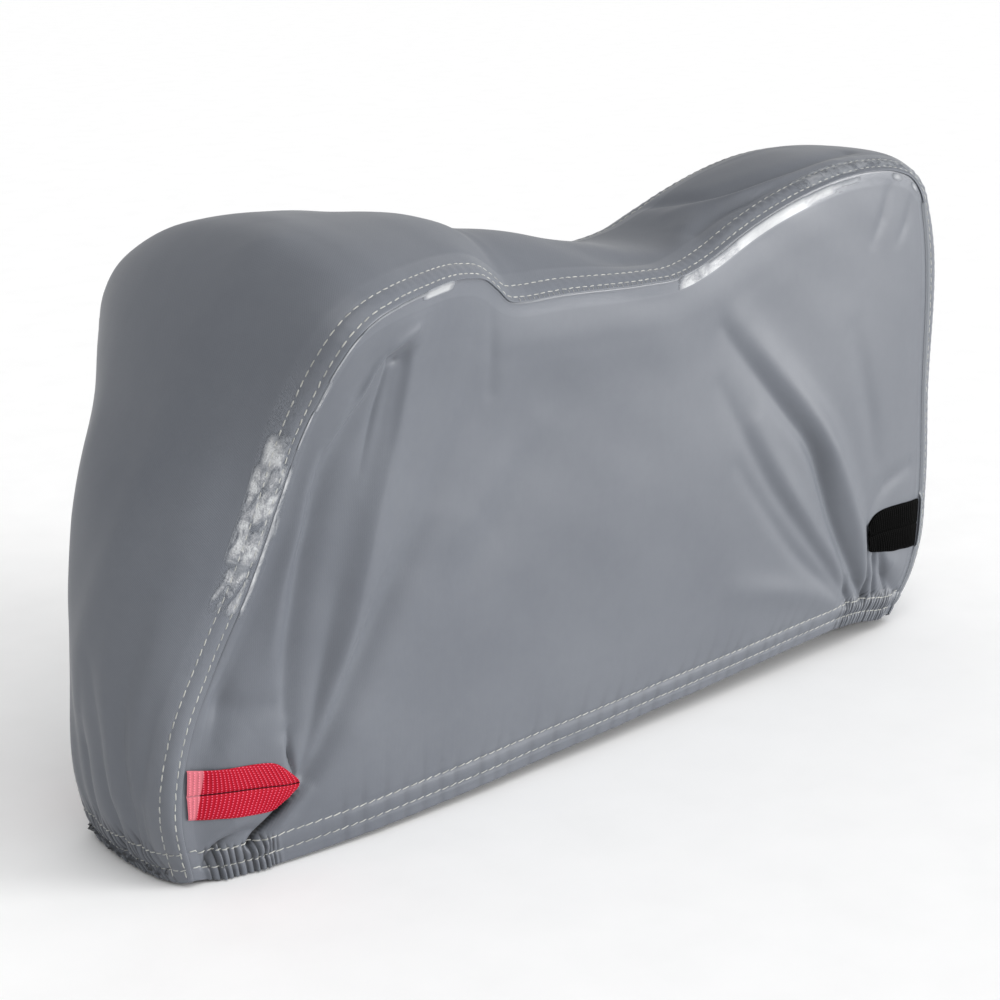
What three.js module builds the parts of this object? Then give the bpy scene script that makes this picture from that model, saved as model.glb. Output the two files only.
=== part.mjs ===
// Fitted cover for a motorcycle, empty inside: a centre panel that runs from the front hem over the
// top to the rear hem, two side panels lapped under its edges, clear tape over both seams, and four
// webbing loops low at the front and rear. +X is the front, +Y the left, +Z up, millimetres.
import * as THREE from 'three';

// Driving dimensions.
const CLOTH = 2; // thickness of the coated cloth
const TAPE = 1; // thickness of the clear tape
const WEBBING = 2; // thickness of the webbing
const AIR = 0.6; // space between pieces that lie on each other
const LAP = 40; // width of the side panel's strip under the centre panel's edge
const TAPE_ON_TOP = 62; // reach of the tape over the centre panel
const TAPE_PAST_FOLD = 1; // how far the tape stands off the centre panel's folded edge
const BORDER = [6, 26]; // facet lines of a side panel beside the seam; the tape ends on the second
const FLANK_BULGE = 32; // how far the middle of a side panel swells outward
const MIDDLE_CELLS = 6; // facets across the centre panel between the two tapes

// The left seam from the front hem to the rear hem, as seen from the side, and the arch that the
// centre panel makes over it. half: half the width there. crown: height of the arch over the seam.
// flat: 2 is a round arch, more is flatter on top. edge: 0.5 meets the side panel smoothly, 1 in a
// corner.
const SEAM_COLUMNS = ['x', 'z', 'half', 'crown', 'flat', 'edge'];
const SEAM_ROWS = [
  [951, 8, 150, 34, 2, 0.5],
  [970, 120, 152, 54, 2, 0.5],
  [946, 263, 154, 96, 2, 0.5],
  [900, 377, 165, 145, 2, 0.5],
  [848, 503, 188, 178, 2, 0.5],
  [804, 660, 224, 172, 2, 0.52],
  [790, 750, 256, 140, 2.1, 0.6],
  [778, 828, 297, 118, 2.2, 0.7],
  [760, 885, 325, 102, 2.3, 0.74],
  [731, 922, 334, 98, 2.4, 0.76],
  [692, 945, 333, 100, 2.3, 0.78],
  [640, 958, 323, 94, 2.2, 0.8],
  [560, 965, 297, 84, 2.1, 0.85],
  [426, 961, 248, 74, 2, 0.92],
  [376, 949, 233, 78, 2, 0.96],
  [338, 925, 222, 91, 2, 1],
  [303, 899, 214, 99, 2, 1],
  [262, 892, 207, 96, 2, 1],
  [180, 889, 198, 86, 2, 1],
  [-60, 874, 184, 48, 2.4, 1],
  [-145, 872, 178, 36, 2.8, 1],
  [-205, 880, 168, 27, 3.2, 1],
  [-262, 893, 158, 24, 3.6, 1],
  [-340, 922, 152, 25, 4, 1],
  [-430, 953, 150, 28, 4, 1],
  [-540, 982, 150, 30, 4, 1],
  [-650, 1000, 150, 28, 4, 1],
  [-740, 1003, 149, 26, 4, 1],
  [-820, 993, 147, 32, 3.4, 0.9],
  [-872, 972, 146, 46, 2.8, 0.75],
  [-905, 937, 145, 62, 2.4, 0.6],
  [-925, 880, 143, 72, 2.2, 0.5],
  [-956, 487, 143, 70, 2, 0.5],
  [-967, 280, 143, 70, 2, 0.5],
  [-962, 165, 143, 64, 2, 0.5],
  [-943, 105, 143, 52, 2, 0.5],
  [-877, 20, 143, 34, 2, 0.5],
];
const FRONT_CORNER_ROW = 9; // where the seam turns from the front leg to the top
const REAR_CORNER_ROW = 30; // where it turns from the top to the rear leg

// The left side panel's lower edge, from the front to the rear.
const HEM_COLUMNS = ['x', 'half', 'z'];
const HEM_ROWS = [
  [951, 150, 8],
  [905, 168, 0],
  [813, 185, 1],
  [690, 196, 4],
  [551, 201, 8],
  [313, 198, 16],
  [52, 191, 24],
  [-233, 182, 32],
  [-409, 175, 37],
  [-583, 167, 41],
  [-700, 159, 41],
  [-770, 154, 32],
  [-830, 149, 20],
  [-877, 143, 20],
];

// Facet lines of a side panel inside its border, as fractions of the seam and hem. The rear leg has
// its own lines down, so that both loops lie between the same two lines.
const LINES_ALONG = [
  0, 0.017, 0.037, 0.06, 0.085, 0.11, 0.135, 0.16, 0.185, 0.21, 0.235, 0.26, 0.28, 0.3, 0.325, 0.36,
  0.4, 0.44, 0.48, 0.52, 0.555, 0.59, 0.62, 0.645, 0.67, 0.7, 0.73, 0.76, 0.79, 0.82, 0.85, 0.88,
  0.91, 0.935, 0.957, 0.98, 1,
];
const LINES_DOWN = [
  0, 0.035, 0.08, 0.14, 0.21, 0.29, 0.37, 0.45, 0.53, 0.61, 0.695, 0.782, 0.8935, 0.95, 1,
];
const REAR_LINES_DOWN = [
  0, 0.035, 0.08, 0.135, 0.2, 0.27, 0.34, 0.41, 0.48, 0.555, 0.63, 0.705, 0.832, 0.92, 1,
];
const LOOP_LINES = [11, 12]; // the two lines down that a loop lies between, counted from 0

// Folds of the side panels. height: plus is a ridge, minus a trough. width: from its crest to where
// it has fallen by two fifths. path: x and z of points along it.
const FOLD_COLUMNS = ['height', 'width', 'path'];
const LEFT_FOLDS = [
  [9, 30, [[738, 894], [765, 704], [781, 520]]],
  [-9, 24, [[735, 869], [753, 644], [774, 443], [774, 250]]],
  [15, 26, [[657, 888], [632, 611], [704, 316], [745, 170]]],
  [-13, 34, [[340, 800], [501, 538], [574, 427], [667, 249], [730, 160]]],
  [-6, 45, [[202, 672], [322, 496], [438, 440]]],
  [5, 34, [[228, 640], [380, 490], [470, 360]]],
  [8, 30, [[850, 245], [900, 215], [930, 190]]],
  [-9, 26, [[770, 134], [810, 88], [861, 50]]],
  [-5, 26, [[907, 316], [863, 293], [810, 294]]],
  [-15, 24, [[-287, 753], [-462, 564], [-554, 459], [-633, 295], [-713, 164], [-755, 100]]],
  [10, 28, [[-345, 744], [-515, 576], [-620, 452], [-715, 279], [-768, 150]]],
  [-9, 24, [[-250, 638], [-400, 429], [-515, 299], [-640, 169], [-700, 110]]],
  [7, 26, [[-329, 330], [-480, 250], [-640, 150]]],
  [-5, 26, [[-681, 679], [-739, 510], [-771, 395]]],
  [8, 26, [[-790, 330], [-850, 345], [-905, 330]]],
  [-7, 24, [[-771, 188], [-830, 121], [-880, 76]]],
];
const RIGHT_FOLDS = [
  [12, 34, [[745, 870], [778, 740], [790, 600]]],
  [-8, 24, [[730, 860], [748, 640], [770, 440], [778, 260]]],
  [12, 28, [[640, 880], [640, 600], [700, 330], [745, 180]]],
  [-11, 36, [[360, 780], [480, 560], [590, 400], [680, 240], [735, 160]]],
  [-5, 45, [[150, 690], [280, 520], [420, 420]]],
  [-8, 26, [[770, 134], [815, 92], [861, 55]]],
  [-12, 26, [[-270, 760], [-450, 570], [-560, 430], [-650, 270], [-740, 120]]],
  [9, 28, [[-340, 750], [-510, 580], [-620, 430], [-720, 260]]],
  [-7, 26, [[-240, 600], [-400, 420], [-540, 270], [-680, 120]]],
  [6, 26, [[-780, 330], [-850, 345], [-905, 325]]],
  [-6, 24, [[-771, 188], [-830, 121], [-880, 76]]],
];

// Folds of the centre panel. path: length from the front hem and distance left of the middle.
const CENTRE_FOLDS = [
  [8, 34, [[762, 93], [645, 85], [527, 68], [447, 53], [359, 26], [241, -24]]],
  [-5, 30, [[865, 235], [681, 205], [513, 185]]],
  [5, 28, [[498, 150], [351, 135], [249, 115]]],
  [5, 34, [[800, -120], [640, -110], [480, -100], [330, -80]]],
  [4, 36, [[1092, 26], [1041, 94], [997, 150]]],
  [3, 36, [[1305, 40], [1326, 120], [1341, 175]]],
  [-6, 30, [[1722, 40], [1781, 90], [1869, 110], [1928, 125]]],
  [4, 30, [[2148, 2], [2008, 100]]],
  [-5, 26, [[2126, -90], [2206, -23], [2316, 37], [2536, 25]]],
  [4, 26, [[2118, 41], [2214, 74], [2456, 80]]],
];

// Webbing loops. seam and tip: x and z of the middle of both ends. half: half the width of the band's
// two halves side by side. slit: the space between them. cuts: how much shorter than the tip the
// upper edge, the middle and the lower edge end, which makes the folded point.
const FRONT_LOOP = { seam: [958, 166], tip: [755, 140], half: 43, slit: 2.5, cuts: [26, 0, 30] };
const REAR_LOOP = { seam: [-958, 222], tip: [-749, 236], half: 52, slit: 2.5, cuts: [6, 0, 58] };
const LOOP_LINES_ALONG = [0, 0.03, 0.13, 0.27, 0.43, 0.6, 0.78, 1];
const LOOP_INSET = 8; // from the seam to the end of a loop

const clothGrey = new THREE.Color('#8b9098');
const tapeGrey = new THREE.Color('#a4a8ae');
const webbingRed = new THREE.Color('#c4162c');
const webbingBlack = new THREE.Color('#1b1c1d');

// Shape functions.

function named(columns, table) {
  return table.map((row) => Object.fromEntries(columns.map((column, k) => [column, row[k]])));
}

function lengthsAlong(points) {
  const lengths = [0];
  for (let k = 1; k < points.length; k += 1) {
    const step = Math.hypot(...points[k].map((value, axis) => value - points[k - 1][axis]));
    lengths.push(lengths[k - 1] + step);
  }
  return lengths;
}

// A smooth curve through the rows of a table: every column is a cubic of the length along it.
function smoothTable(columns, table, places) {
  const rows = named(columns, table);
  const lengths = lengthsAlong(rows.map((row) => places.map((column) => row[column])));
  const slopes = {};
  for (const column of columns) {
    const rise = rows.slice(1).map((row, k) => {
      return (row[column] - rows[k][column]) / (lengths[k + 1] - lengths[k]);
    });
    slopes[column] = rows.map((row, k) => {
      if (k === 0) return rise[0];
      if (k === rows.length - 1) return rise[k - 1];
      const before = lengths[k] - lengths[k - 1];
      const after = lengths[k + 1] - lengths[k];
      return (rise[k - 1] * after + rise[k] * before) / (before + after);
    });
  }
  function at(length) {
    const last = rows.length - 2;
    const k = Math.min(last, Math.max(0, lengths.findIndex((value) => value > length) - 1));
    const segment = length >= lengths[last + 1] ? last : k;
    const step = lengths[segment + 1] - lengths[segment];
    const t = (length - lengths[segment]) / step;
    const point = {};
    for (const column of columns) {
      const startSlope = slopes[column][segment] * step;
      const endSlope = slopes[column][segment + 1] * step;
      point[column] =
        (1 + 2 * t) * (1 - t) ** 2 * rows[segment][column] +
        t * (1 - t) ** 2 * startSlope +
        t * t * (3 - 2 * t) * rows[segment + 1][column] +
        t * t * (t - 1) * endSlope;
    }
    return point;
  }
  return { at, lengths, total: lengths[lengths.length - 1] };
}

function smoothStep(value) {
  const t = Math.min(1, Math.max(0, value));
  return t * t * (3 - 2 * t);
}

// Sum of the folds at a place: a fold is a soft ridge or trough along a smooth path that dies away at
// both ends.
function foldHeight(folds, first, second) {
  let height = 0;
  for (const fold of folds) {
    let best = Infinity;
    let reach = 0;
    const pieces = fold.points.length - 1;
    for (let k = 0; k <= pieces; k += 1) {
      const gap = Math.hypot(fold.points[k].x - first, fold.points[k].y - second);
      if (gap < best) {
        best = gap;
        reach = k / pieces;
      }
    }
    const ends = Math.sin(Math.PI * (0.12 + 0.76 * reach)) ** 0.7;
    height += fold.height * ends * Math.exp(-0.5 * (best / fold.width) ** 2);
  }
  return height;
}

function foldTable(table) {
  return named(FOLD_COLUMNS, table).map((fold) => {
    const path = new THREE.SplineCurve(fold.path.map((place) => new THREE.Vector2(...place)));
    return { height: fold.height, width: fold.width, points: path.getSpacedPoints(30) };
  });
}

function vertexNormals(points, cells) {
  const normals = points.map(() => new THREE.Vector3());
  for (const [a, b, c, d] of cells) {
    const acrossOne = points[c].clone().sub(points[a]);
    const acrossTwo = points[d].clone().sub(points[b]);
    const normal = acrossOne.cross(acrossTwo);
    for (const index of [a, b, c, d]) normals[index].add(normal);
  }
  return normals.map((normal) => normal.normalize());
}

function offsetPoints(points, normals, distance) {
  return points.map((point, k) => point.clone().addScaledVector(normals[k], distance));
}

// One closed sheet: the upper face, the lower face and a rim along every free edge.
function sheet(name, colour, roughness, upper, lower, cells) {
  const positions = [];
  for (const point of [...upper, ...lower]) positions.push(point.x, point.y, point.z);
  const below = upper.length;
  const faces = [];
  const edges = new Map();
  for (const cell of cells) {
    const [a, b, c, d] = cell;
    faces.push(a, b, c, a, c, d);
    faces.push(below + a, below + c, below + b, below + a, below + d, below + c);
    cell.forEach((from, k) => {
      const to = cell[(k + 1) % 4];
      if (edges.has(`${to} ${from}`)) edges.delete(`${to} ${from}`);
      else edges.set(`${from} ${to}`, [from, to]);
    });
  }
  for (const [from, to] of edges.values()) {
    faces.push(to, from, below + from, to, below + from, below + to);
  }
  const geometry = new THREE.BufferGeometry();
  geometry.setAttribute('position', new THREE.Float32BufferAttribute(positions, 3));
  geometry.setIndex(faces);
  geometry.computeVertexNormals();
  const material = new THREE.MeshStandardMaterial({ color: colour, roughness, metalness: 0 });
  material.name = name;
  const mesh = new THREE.Mesh(geometry, material);
  mesh.name = name;
  return mesh;
}

// The centre panel.

const seam = smoothTable(SEAM_COLUMNS, SEAM_ROWS, ['x', 'z', 'half']);
const frontCorner = seam.lengths[FRONT_CORNER_ROW];
const rearCorner = seam.lengths[REAR_CORNER_ROW];
const linesDown = LINES_DOWN.length - 1;
const linesAlong = LINES_ALONG.length - 1;
const stations = [
  ...LINES_DOWN.map((fraction) => frontCorner * (1 - fraction)).reverse(),
  ...LINES_ALONG.slice(1).map((fraction) => frontCorner + (rearCorner - frontCorner) * fraction),
  ...REAR_LINES_DOWN.slice(1).map((fraction) => rearCorner + (seam.total - rearCorner) * fraction),
];

// The way the arch stands on the seam: square to it, with its turns smoothed.
function archDirection(length) {
  const direction = new THREE.Vector2();
  for (let k = -4; k <= 4; k += 1) {
    const middle = Math.min(seam.total, Math.max(0, length + 15 * k));
    const before = seam.at(Math.max(0, middle - 2));
    const after = seam.at(Math.min(seam.total, middle + 2));
    const step = new THREE.Vector2(after.z - before.z, before.x - after.x);
    direction.add(step.normalize());
  }
  return direction.normalize();
}

// Facet lines across the centre panel, as distances from its left edge: under the lap, under the
// tape, then evenly over the middle and the same back to the right edge.
function columnDistances(width) {
  const side = [0, LAP / 2, LAP, TAPE_ON_TOP];
  const middle = width - 2 * TAPE_ON_TOP;
  const distances = [...side];
  for (let k = 1; k < MIDDLE_CELLS; k += 1) distances.push(TAPE_ON_TOP + (middle * k) / MIDDLE_CELLS);
  return [...distances, ...side.map((distance) => width - distance).reverse()];
}

// One cross-section: an arch y from +half to -half, height crown (1 - |y/half|^flat)^edge, cut into
// facets by its developed length.
function centreSection(length, folds) {
  const row = seam.at(length);
  const direction = archDirection(length);
  const profile = [];
  for (let k = 0; k <= 240; k += 1) {
    const share = 1 - k / 120;
    const place = Math.sign(share) * (1 - (1 - Math.abs(share)) ** 1.6);
    const height = row.crown * Math.max(0, 1 - Math.abs(place) ** row.flat) ** row.edge;
    profile.push([row.half * place, height]);
  }
  const lengths = lengthsAlong(profile);
  const width = lengths[lengths.length - 1];
  return columnDistances(width).map((distance) => {
    const found = lengths.findIndex((value) => value >= distance - 1e-9);
    const k = found < 0 ? lengths.length - 1 : Math.max(1, found);
    const t = Math.min(1, (distance - lengths[k - 1]) / (lengths[k] - lengths[k - 1]));
    const y = profile[k - 1][0] + (profile[k][0] - profile[k - 1][0]) * t;
    const arch = profile[k - 1][1] + (profile[k][1] - profile[k - 1][1]) * t;
    const inward = Math.min(distance, width - distance) - TAPE_ON_TOP;
    const height = arch + foldHeight(folds, length, width / 2 - distance) * smoothStep(inward / 40);
    return new THREE.Vector3(row.x + height * direction.x, y, row.z + height * direction.y);
  });
}

const centreColumns = columnDistances(400).length;
const centreFolds = foldTable(CENTRE_FOLDS);
const centrePoints = stations.flatMap((length) => centreSection(length, centreFolds));
const centreCells = [];
for (let k = 0; k < stations.length - 1; k += 1) {
  for (let c = 0; c < centreColumns - 1; c += 1) {
    const near = k * centreColumns + c;
    const next = near + centreColumns;
    const onLeft = c < centreColumns / 2 - 1;
    centreCells.push(onLeft ? [near, next, next + 1, near + 1] : [near + 1, near, next, next + 1]);
  }
}
const centreNormals = vertexNormals(centrePoints, centreCells);

function centrePanel() {
  const lower = offsetPoints(centrePoints, centreNormals, -CLOTH);
  return sheet('centre_panel', clothGrey, 0.5, centrePoints, lower, centreCells);
}

// The side panels. side is +1 for the left one and -1 for the right one. A panel is three areas that
// share their border points: the lap under the centre panel, the border beside the seam, and the
// field inside it, which is blended from the border's inner line and the hem.

const lastStation = stations.length - 1;

function centreIndex(station, fromEdge, side) {
  return station * centreColumns + (side > 0 ? fromEdge : centreColumns - 1 - fromEdge);
}

function underCentre(station, fromEdge, side) {
  const index = centreIndex(station, fromEdge, side);
  return centrePoints[index].clone().addScaledVector(centreNormals[index], -CLOTH - AIR);
}

// The way a side panel leaves the seam: square to it, and along the hem near the two feet. It leans
// inward where the seam is far out over the handlebar.
function borderDirection(station, side) {
  const length = stations[station];
  const before = seam.at(Math.max(0, length - 3));
  const after = seam.at(Math.min(seam.total, length + 3));
  const square = new THREE.Vector2(before.z - after.z, after.x - before.x).normalize();
  const frontShare = 1 - smoothStep(length / 110);
  const rearShare = 1 - smoothStep((seam.total - length) / 110);
  square.multiplyScalar(1 - frontShare - rearShare);
  square.add(new THREE.Vector2(-0.98 * frontShare + rearShare, -0.17 * frontShare)).normalize();
  const lean = (seam.at(length).half - 185) / 400;
  return new THREE.Vector3(square.x, -side * lean, square.y).normalize();
}

function borderPoint(station, ring, side) {
  const edge = underCentre(station, 0, side);
  return ring === 0 ? edge : edge.addScaledVector(borderDirection(station, side), BORDER[ring - 1]);
}

// Points of the field, blended from its four edges, swollen outward and folded.
function fieldPoints(side, foldRows) {
  const hem = smoothTable(HEM_COLUMNS, HEM_ROWS, ['x', 'half', 'z']);
  const folds = foldTable(foldRows);
  const inner = stations.map((length, station) => borderPoint(station, BORDER.length, side));
  const frontTop = inner[linesDown];
  const rearTop = inner[linesDown + linesAlong];
  const frontFoot = inner[0];
  const rearFoot = inner[lastStation];
  const hemStart = hem.at(BORDER[1]);
  const hemEnd = hem.at(hem.total - BORDER[1]);
  const startMove = frontFoot.clone().sub(new THREE.Vector3(hemStart.x, side * hemStart.half, hemStart.z));
  const endMove = rearFoot.clone().sub(new THREE.Vector3(hemEnd.x, side * hemEnd.half, hemEnd.z));
  return LINES_ALONG.flatMap((u, i) => LINES_DOWN.map((v, j) => {
    const hemRow = hem.at(BORDER[1] + (hem.total - 2 * BORDER[1]) * u);
    const bottom = new THREE.Vector3(hemRow.x, side * hemRow.half, hemRow.z);
    bottom.addScaledVector(startMove, (1 - u) ** 6).addScaledVector(endMove, u ** 6);
    const point = new THREE.Vector3();
    point.addScaledVector(inner[linesDown + i], 1 - v).addScaledVector(bottom, v);
    point.addScaledVector(inner[linesDown - j], 1 - u);
    point.addScaledVector(inner[linesDown + linesAlong + j], u);
    point.addScaledVector(frontTop, -(1 - u) * (1 - v)).addScaledVector(rearTop, -u * (1 - v));
    point.addScaledVector(frontFoot, -(1 - u) * v).addScaledVector(rearFoot, -u * v);
    const swell = FLANK_BULGE * (1 - (2 * u - 1) ** 4) * Math.sin(Math.PI * v);
    const inside = smoothStep(v / 0.06) * smoothStep(u / 0.03) * smoothStep((1 - u) / 0.03);
    point.y += side * (swell + inside * foldHeight(folds, point.x, point.z));
    return point;
  }));
}

function orientedCell(cell, side) {
  return side > 0 ? cell : [cell[0], cell[3], cell[2], cell[1]];
}

function sideSurface(side, foldRows) {
  const points = fieldPoints(side, foldRows);
  const gridIndex = (along, down) => along * (linesDown + 1) + down;
  const fieldIndex = (station) => {
    if (station <= linesDown) return gridIndex(0, linesDown - station);
    if (station <= linesDown + linesAlong) return gridIndex(station - linesDown, 0);
    return gridIndex(linesAlong, station - linesDown - linesAlong);
  };
  // Rings beside the seam: 2 is the border's inner line, 0 the fold, -1 and -2 the lap.
  const ringIndex = new Map();
  for (let station = 0; station <= lastStation; station += 1) {
    ringIndex.set(`${station} 2`, fieldIndex(station));
    for (const ring of [1, 0]) {
      ringIndex.set(`${station} ${ring}`, points.length);
      points.push(borderPoint(station, ring, side));
    }
    for (const ring of [1, 2]) {
      ringIndex.set(`${station} ${-ring}`, points.length);
      points.push(underCentre(station, ring, side));
    }
  }
  const outside = [];
  for (let i = 0; i < linesAlong; i += 1) {
    for (let j = 0; j < linesDown; j += 1) {
      const cell = [gridIndex(i, j), gridIndex(i, j + 1), gridIndex(i + 1, j + 1), gridIndex(i + 1, j)];
      outside.push(orientedCell(cell, side));
    }
  }
  const lap = [];
  for (let k = 0; k < lastStation; k += 1) {
    for (const ring of [2, 1, 0, -1]) {
      const corners = [`${k} ${ring}`, `${k + 1} ${ring}`, `${k + 1} ${ring - 1}`, `${k} ${ring - 1}`];
      const cell = orientedCell(corners.map((key) => ringIndex.get(key)), side);
      (ring > 0 ? outside : lap).push(cell);
    }
  }
  const cells = [...outside, ...lap];
  return { side, points, cells, outside, ringIndex, normals: vertexNormals(points, cells) };
}

function sidePanel(name, surface) {
  const lower = offsetPoints(surface.points, surface.normals, -CLOTH);
  return sheet(name, clothGrey, 0.5, surface.points, lower, surface.cells);
}

// Clear tape over a seam: it lies on the centre panel's edge, steps over the fold and lies on the
// side panel's border. It rises over the ends of the two loops.
function seamTape(name, surface) {
  const { side } = surface;
  const points = [];
  const normals = [];
  for (let station = 0; station <= lastStation; station += 1) {
    const down = station <= linesDown ? linesDown - station : station - linesDown - linesAlong;
    const overLoop = LOOP_LINES.includes(down) ? WEBBING + 2 * AIR + 0.4 : 0;
    for (const fromEdge of [3, 2, 1, 0]) {
      const index = centreIndex(station, fromEdge, side);
      const outward = centrePoints[index].clone().sub(centrePoints[centreIndex(station, 1, side)]);
      const past = fromEdge === 0 ? TAPE_PAST_FOLD : 0;
      const point = centrePoints[index].clone().addScaledVector(outward.normalize(), past);
      points.push(point.addScaledVector(centreNormals[index], AIR));
      normals.push(centreNormals[index]);
    }
    for (const ring of [1, 2]) {
      const index = surface.ringIndex.get(`${station} ${ring}`);
      points.push(surface.points[index].clone().addScaledVector(surface.normals[index], AIR + overLoop));
      normals.push(surface.normals[index]);
    }
  }
  const cells = [];
  for (let k = 0; k < lastStation; k += 1) {
    for (let ring = 0; ring < 5; ring += 1) {
      const near = 6 * k + ring;
      cells.push(orientedCell([near + 1, near + 7, near + 6, near], side));
    }
  }
  return sheet(name, tapeGrey, 0.2, offsetPoints(points, normals, TAPE), points, cells);
}

// Webbing loops.

// Length along the seam at the height where one edge of a loop meets it.
function loopLength(loop, share) {
  const height = loop.seam[1] + share * loop.half;
  const onRearLeg = loop.seam[0] < 0;
  let low = onRearLeg ? rearCorner : 0;
  let high = onRearLeg ? seam.total : frontCorner;
  for (let k = 0; k < 40; k += 1) {
    const middle = (low + high) / 2;
    const isShort = onRearLeg ? seam.at(middle).z > height : seam.at(middle).z < height;
    if (isShort) low = middle;
    else high = middle;
  }
  return (low + high) / 2;
}

// Height of a side panel over the middle plane at a place seen from the side.
function panelHeightAt(surface, x, z) {
  const { points, outside } = surface;
  for (const [a, b, c, d] of outside) {
    for (const [p, q, r] of [[a, b, c], [a, c, d]]) {
      const area = (points[q].x - points[p].x) * (points[r].z - points[p].z) -
        (points[r].x - points[p].x) * (points[q].z - points[p].z);
      const second = ((x - points[p].x) * (points[r].z - points[p].z) -
        (points[r].x - points[p].x) * (z - points[p].z)) / area;
      const third = ((points[q].x - points[p].x) * (z - points[p].z) -
        (x - points[p].x) * (points[q].z - points[p].z)) / area;
      if (second >= -1e-6 && third >= -1e-6 && second + third <= 1 + 1e-6) {
        return points[p].y * (1 - second - third) + points[q].y * second + points[r].y * third;
      }
    }
  }
  throw new Error(`no panel at ${x}, ${z}`);
}

function webbingLoop(name, colour, surface, loop) {
  const { side } = surface;
  const start = new THREE.Vector2(...loop.seam);
  const end = new THREE.Vector2(...loop.tip);
  const length = start.distanceTo(end);
  const ahead = end.clone().sub(start).divideScalar(length);
  const upward = new THREE.Vector2(Math.abs(ahead.y), Math.abs(ahead.x));
  if (ahead.x * ahead.y > 0) upward.x *= -1;
  const slitShare = loop.slit / loop.half / 2;
  const shares = [-1, -0.5, -slitShare, slitShare, 0.5, 1];
  const [upperCut, middleCut, lowerCut] = loop.cuts;
  const points = LOOP_LINES_ALONG.flatMap((fraction) => shares.map((share) => {
    const edgeCut = share > 0 ? upperCut : lowerCut;
    const cut = middleCut + (edgeCut - middleCut) * Math.abs(share);
    const seamSlant = seam.at(loopLength(loop, share)).x - start.x - upward.x * share * loop.half;
    const along = (length - cut) * fraction;
    const place = start.clone().addScaledVector(ahead, along).addScaledVector(upward, share * loop.half);
    place.x += (seamSlant + LOOP_INSET * Math.sign(ahead.x)) * (1 - smoothStep(fraction / 0.5));
    const free = smoothStep((along - 24) / 40);
    const lift = AIR + free * (2 + 3 * Math.sin((Math.PI * along) / length));
    const y = panelHeightAt(surface, place.x, place.y) + side * lift;
    return new THREE.Vector3(place.x, y, place.y);
  }));
  const count = shares.length;
  const steps = LOOP_LINES_ALONG.length - 1;
  const cells = [];
  for (let k = 0; k < steps; k += 1) {
    for (let c = 0; c < count - 1; c += 1) {
      const isSlit = c === 2 && k < steps - 1;
      if (isSlit) continue;
      const corner = k * count + c;
      const cell = [corner, corner + count, corner + count + 1, corner + 1];
      cells.push(orientedCell(cell, ahead.x < 0 ? side : -side));
    }
  }
  const outward = new THREE.Vector3(0, side, 0);
  const upper = offsetPoints(points, points.map(() => outward), WEBBING);
  return sheet(name, colour, 0.7, upper, points, cells);
}

// Assembly.

function placeOnFloor(group) {
  group.updateMatrixWorld(true);
  const box = new THREE.Box3().setFromObject(group);
  const middle = box.getCenter(new THREE.Vector3());
  for (const mesh of group.children) mesh.geometry.translate(-middle.x, -middle.y, -box.min.z);
}

const leftSurface = sideSurface(1, LEFT_FOLDS);
const rightSurface = sideSurface(-1, RIGHT_FOLDS);

const cover = new THREE.Group();
cover.name = 'motorcycle_cover';
cover.add(
  centrePanel(),
  sidePanel('side_panel_left', leftSurface),
  sidePanel('side_panel_right', rightSurface),
  seamTape('seam_tape_left', leftSurface),
  seamTape('seam_tape_right', rightSurface),
  webbingLoop('front_loop_left', webbingRed, leftSurface, FRONT_LOOP),
  webbingLoop('front_loop_right', webbingRed, rightSurface, FRONT_LOOP),
  webbingLoop('rear_loop_left', webbingBlack, leftSurface, REAR_LOOP),
  webbingLoop('rear_loop_right', webbingBlack, rightSurface, REAR_LOOP),
);
placeOnFloor(cover);

export default cover;
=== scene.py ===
import bpy
import numpy as np
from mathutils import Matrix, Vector


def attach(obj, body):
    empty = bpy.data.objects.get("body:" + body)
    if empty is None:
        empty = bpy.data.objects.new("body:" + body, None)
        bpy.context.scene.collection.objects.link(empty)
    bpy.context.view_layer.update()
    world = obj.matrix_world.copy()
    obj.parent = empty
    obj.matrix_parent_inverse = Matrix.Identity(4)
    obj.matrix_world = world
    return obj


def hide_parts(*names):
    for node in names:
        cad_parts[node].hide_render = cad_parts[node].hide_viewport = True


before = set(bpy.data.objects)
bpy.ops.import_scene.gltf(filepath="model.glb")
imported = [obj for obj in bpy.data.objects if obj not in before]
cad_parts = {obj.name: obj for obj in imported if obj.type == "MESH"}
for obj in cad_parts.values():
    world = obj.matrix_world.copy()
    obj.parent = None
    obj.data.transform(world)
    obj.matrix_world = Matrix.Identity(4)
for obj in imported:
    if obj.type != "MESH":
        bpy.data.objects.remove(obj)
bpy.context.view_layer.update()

# Centre panel. One long strip of grey polyester with a smooth coat, cut to run from the front hem
# over the windscreen, handlebar, seat and tail to the rear hem. Its long edges are folded under and
# lapped 40 mm onto the side panels; its ends are turned up into a casing for the elastic.

PLACE = np.array([-2.99, 0.0, 1.57])  # from the pattern's origin to the middle of the floor, mm
CLOTH = 2.0  # thickness of the coated cloth
AIR = 0.6  # space between pieces that lie on each other
TAPE_ON_TOP = 62.0  # reach of the tape over the centre panel
SEAM_ROW_DISTANCES = [10.5, 36.0]  # the two rows of stitches beside the folded edge
HEM_ROW_HEIGHTS = [24.0, 55.0]  # the two rows of stitches of the casing, above the hem
STITCH = 18.5  # pitch of the stitches
TURN = 6.283  # a full turn, radians

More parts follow.
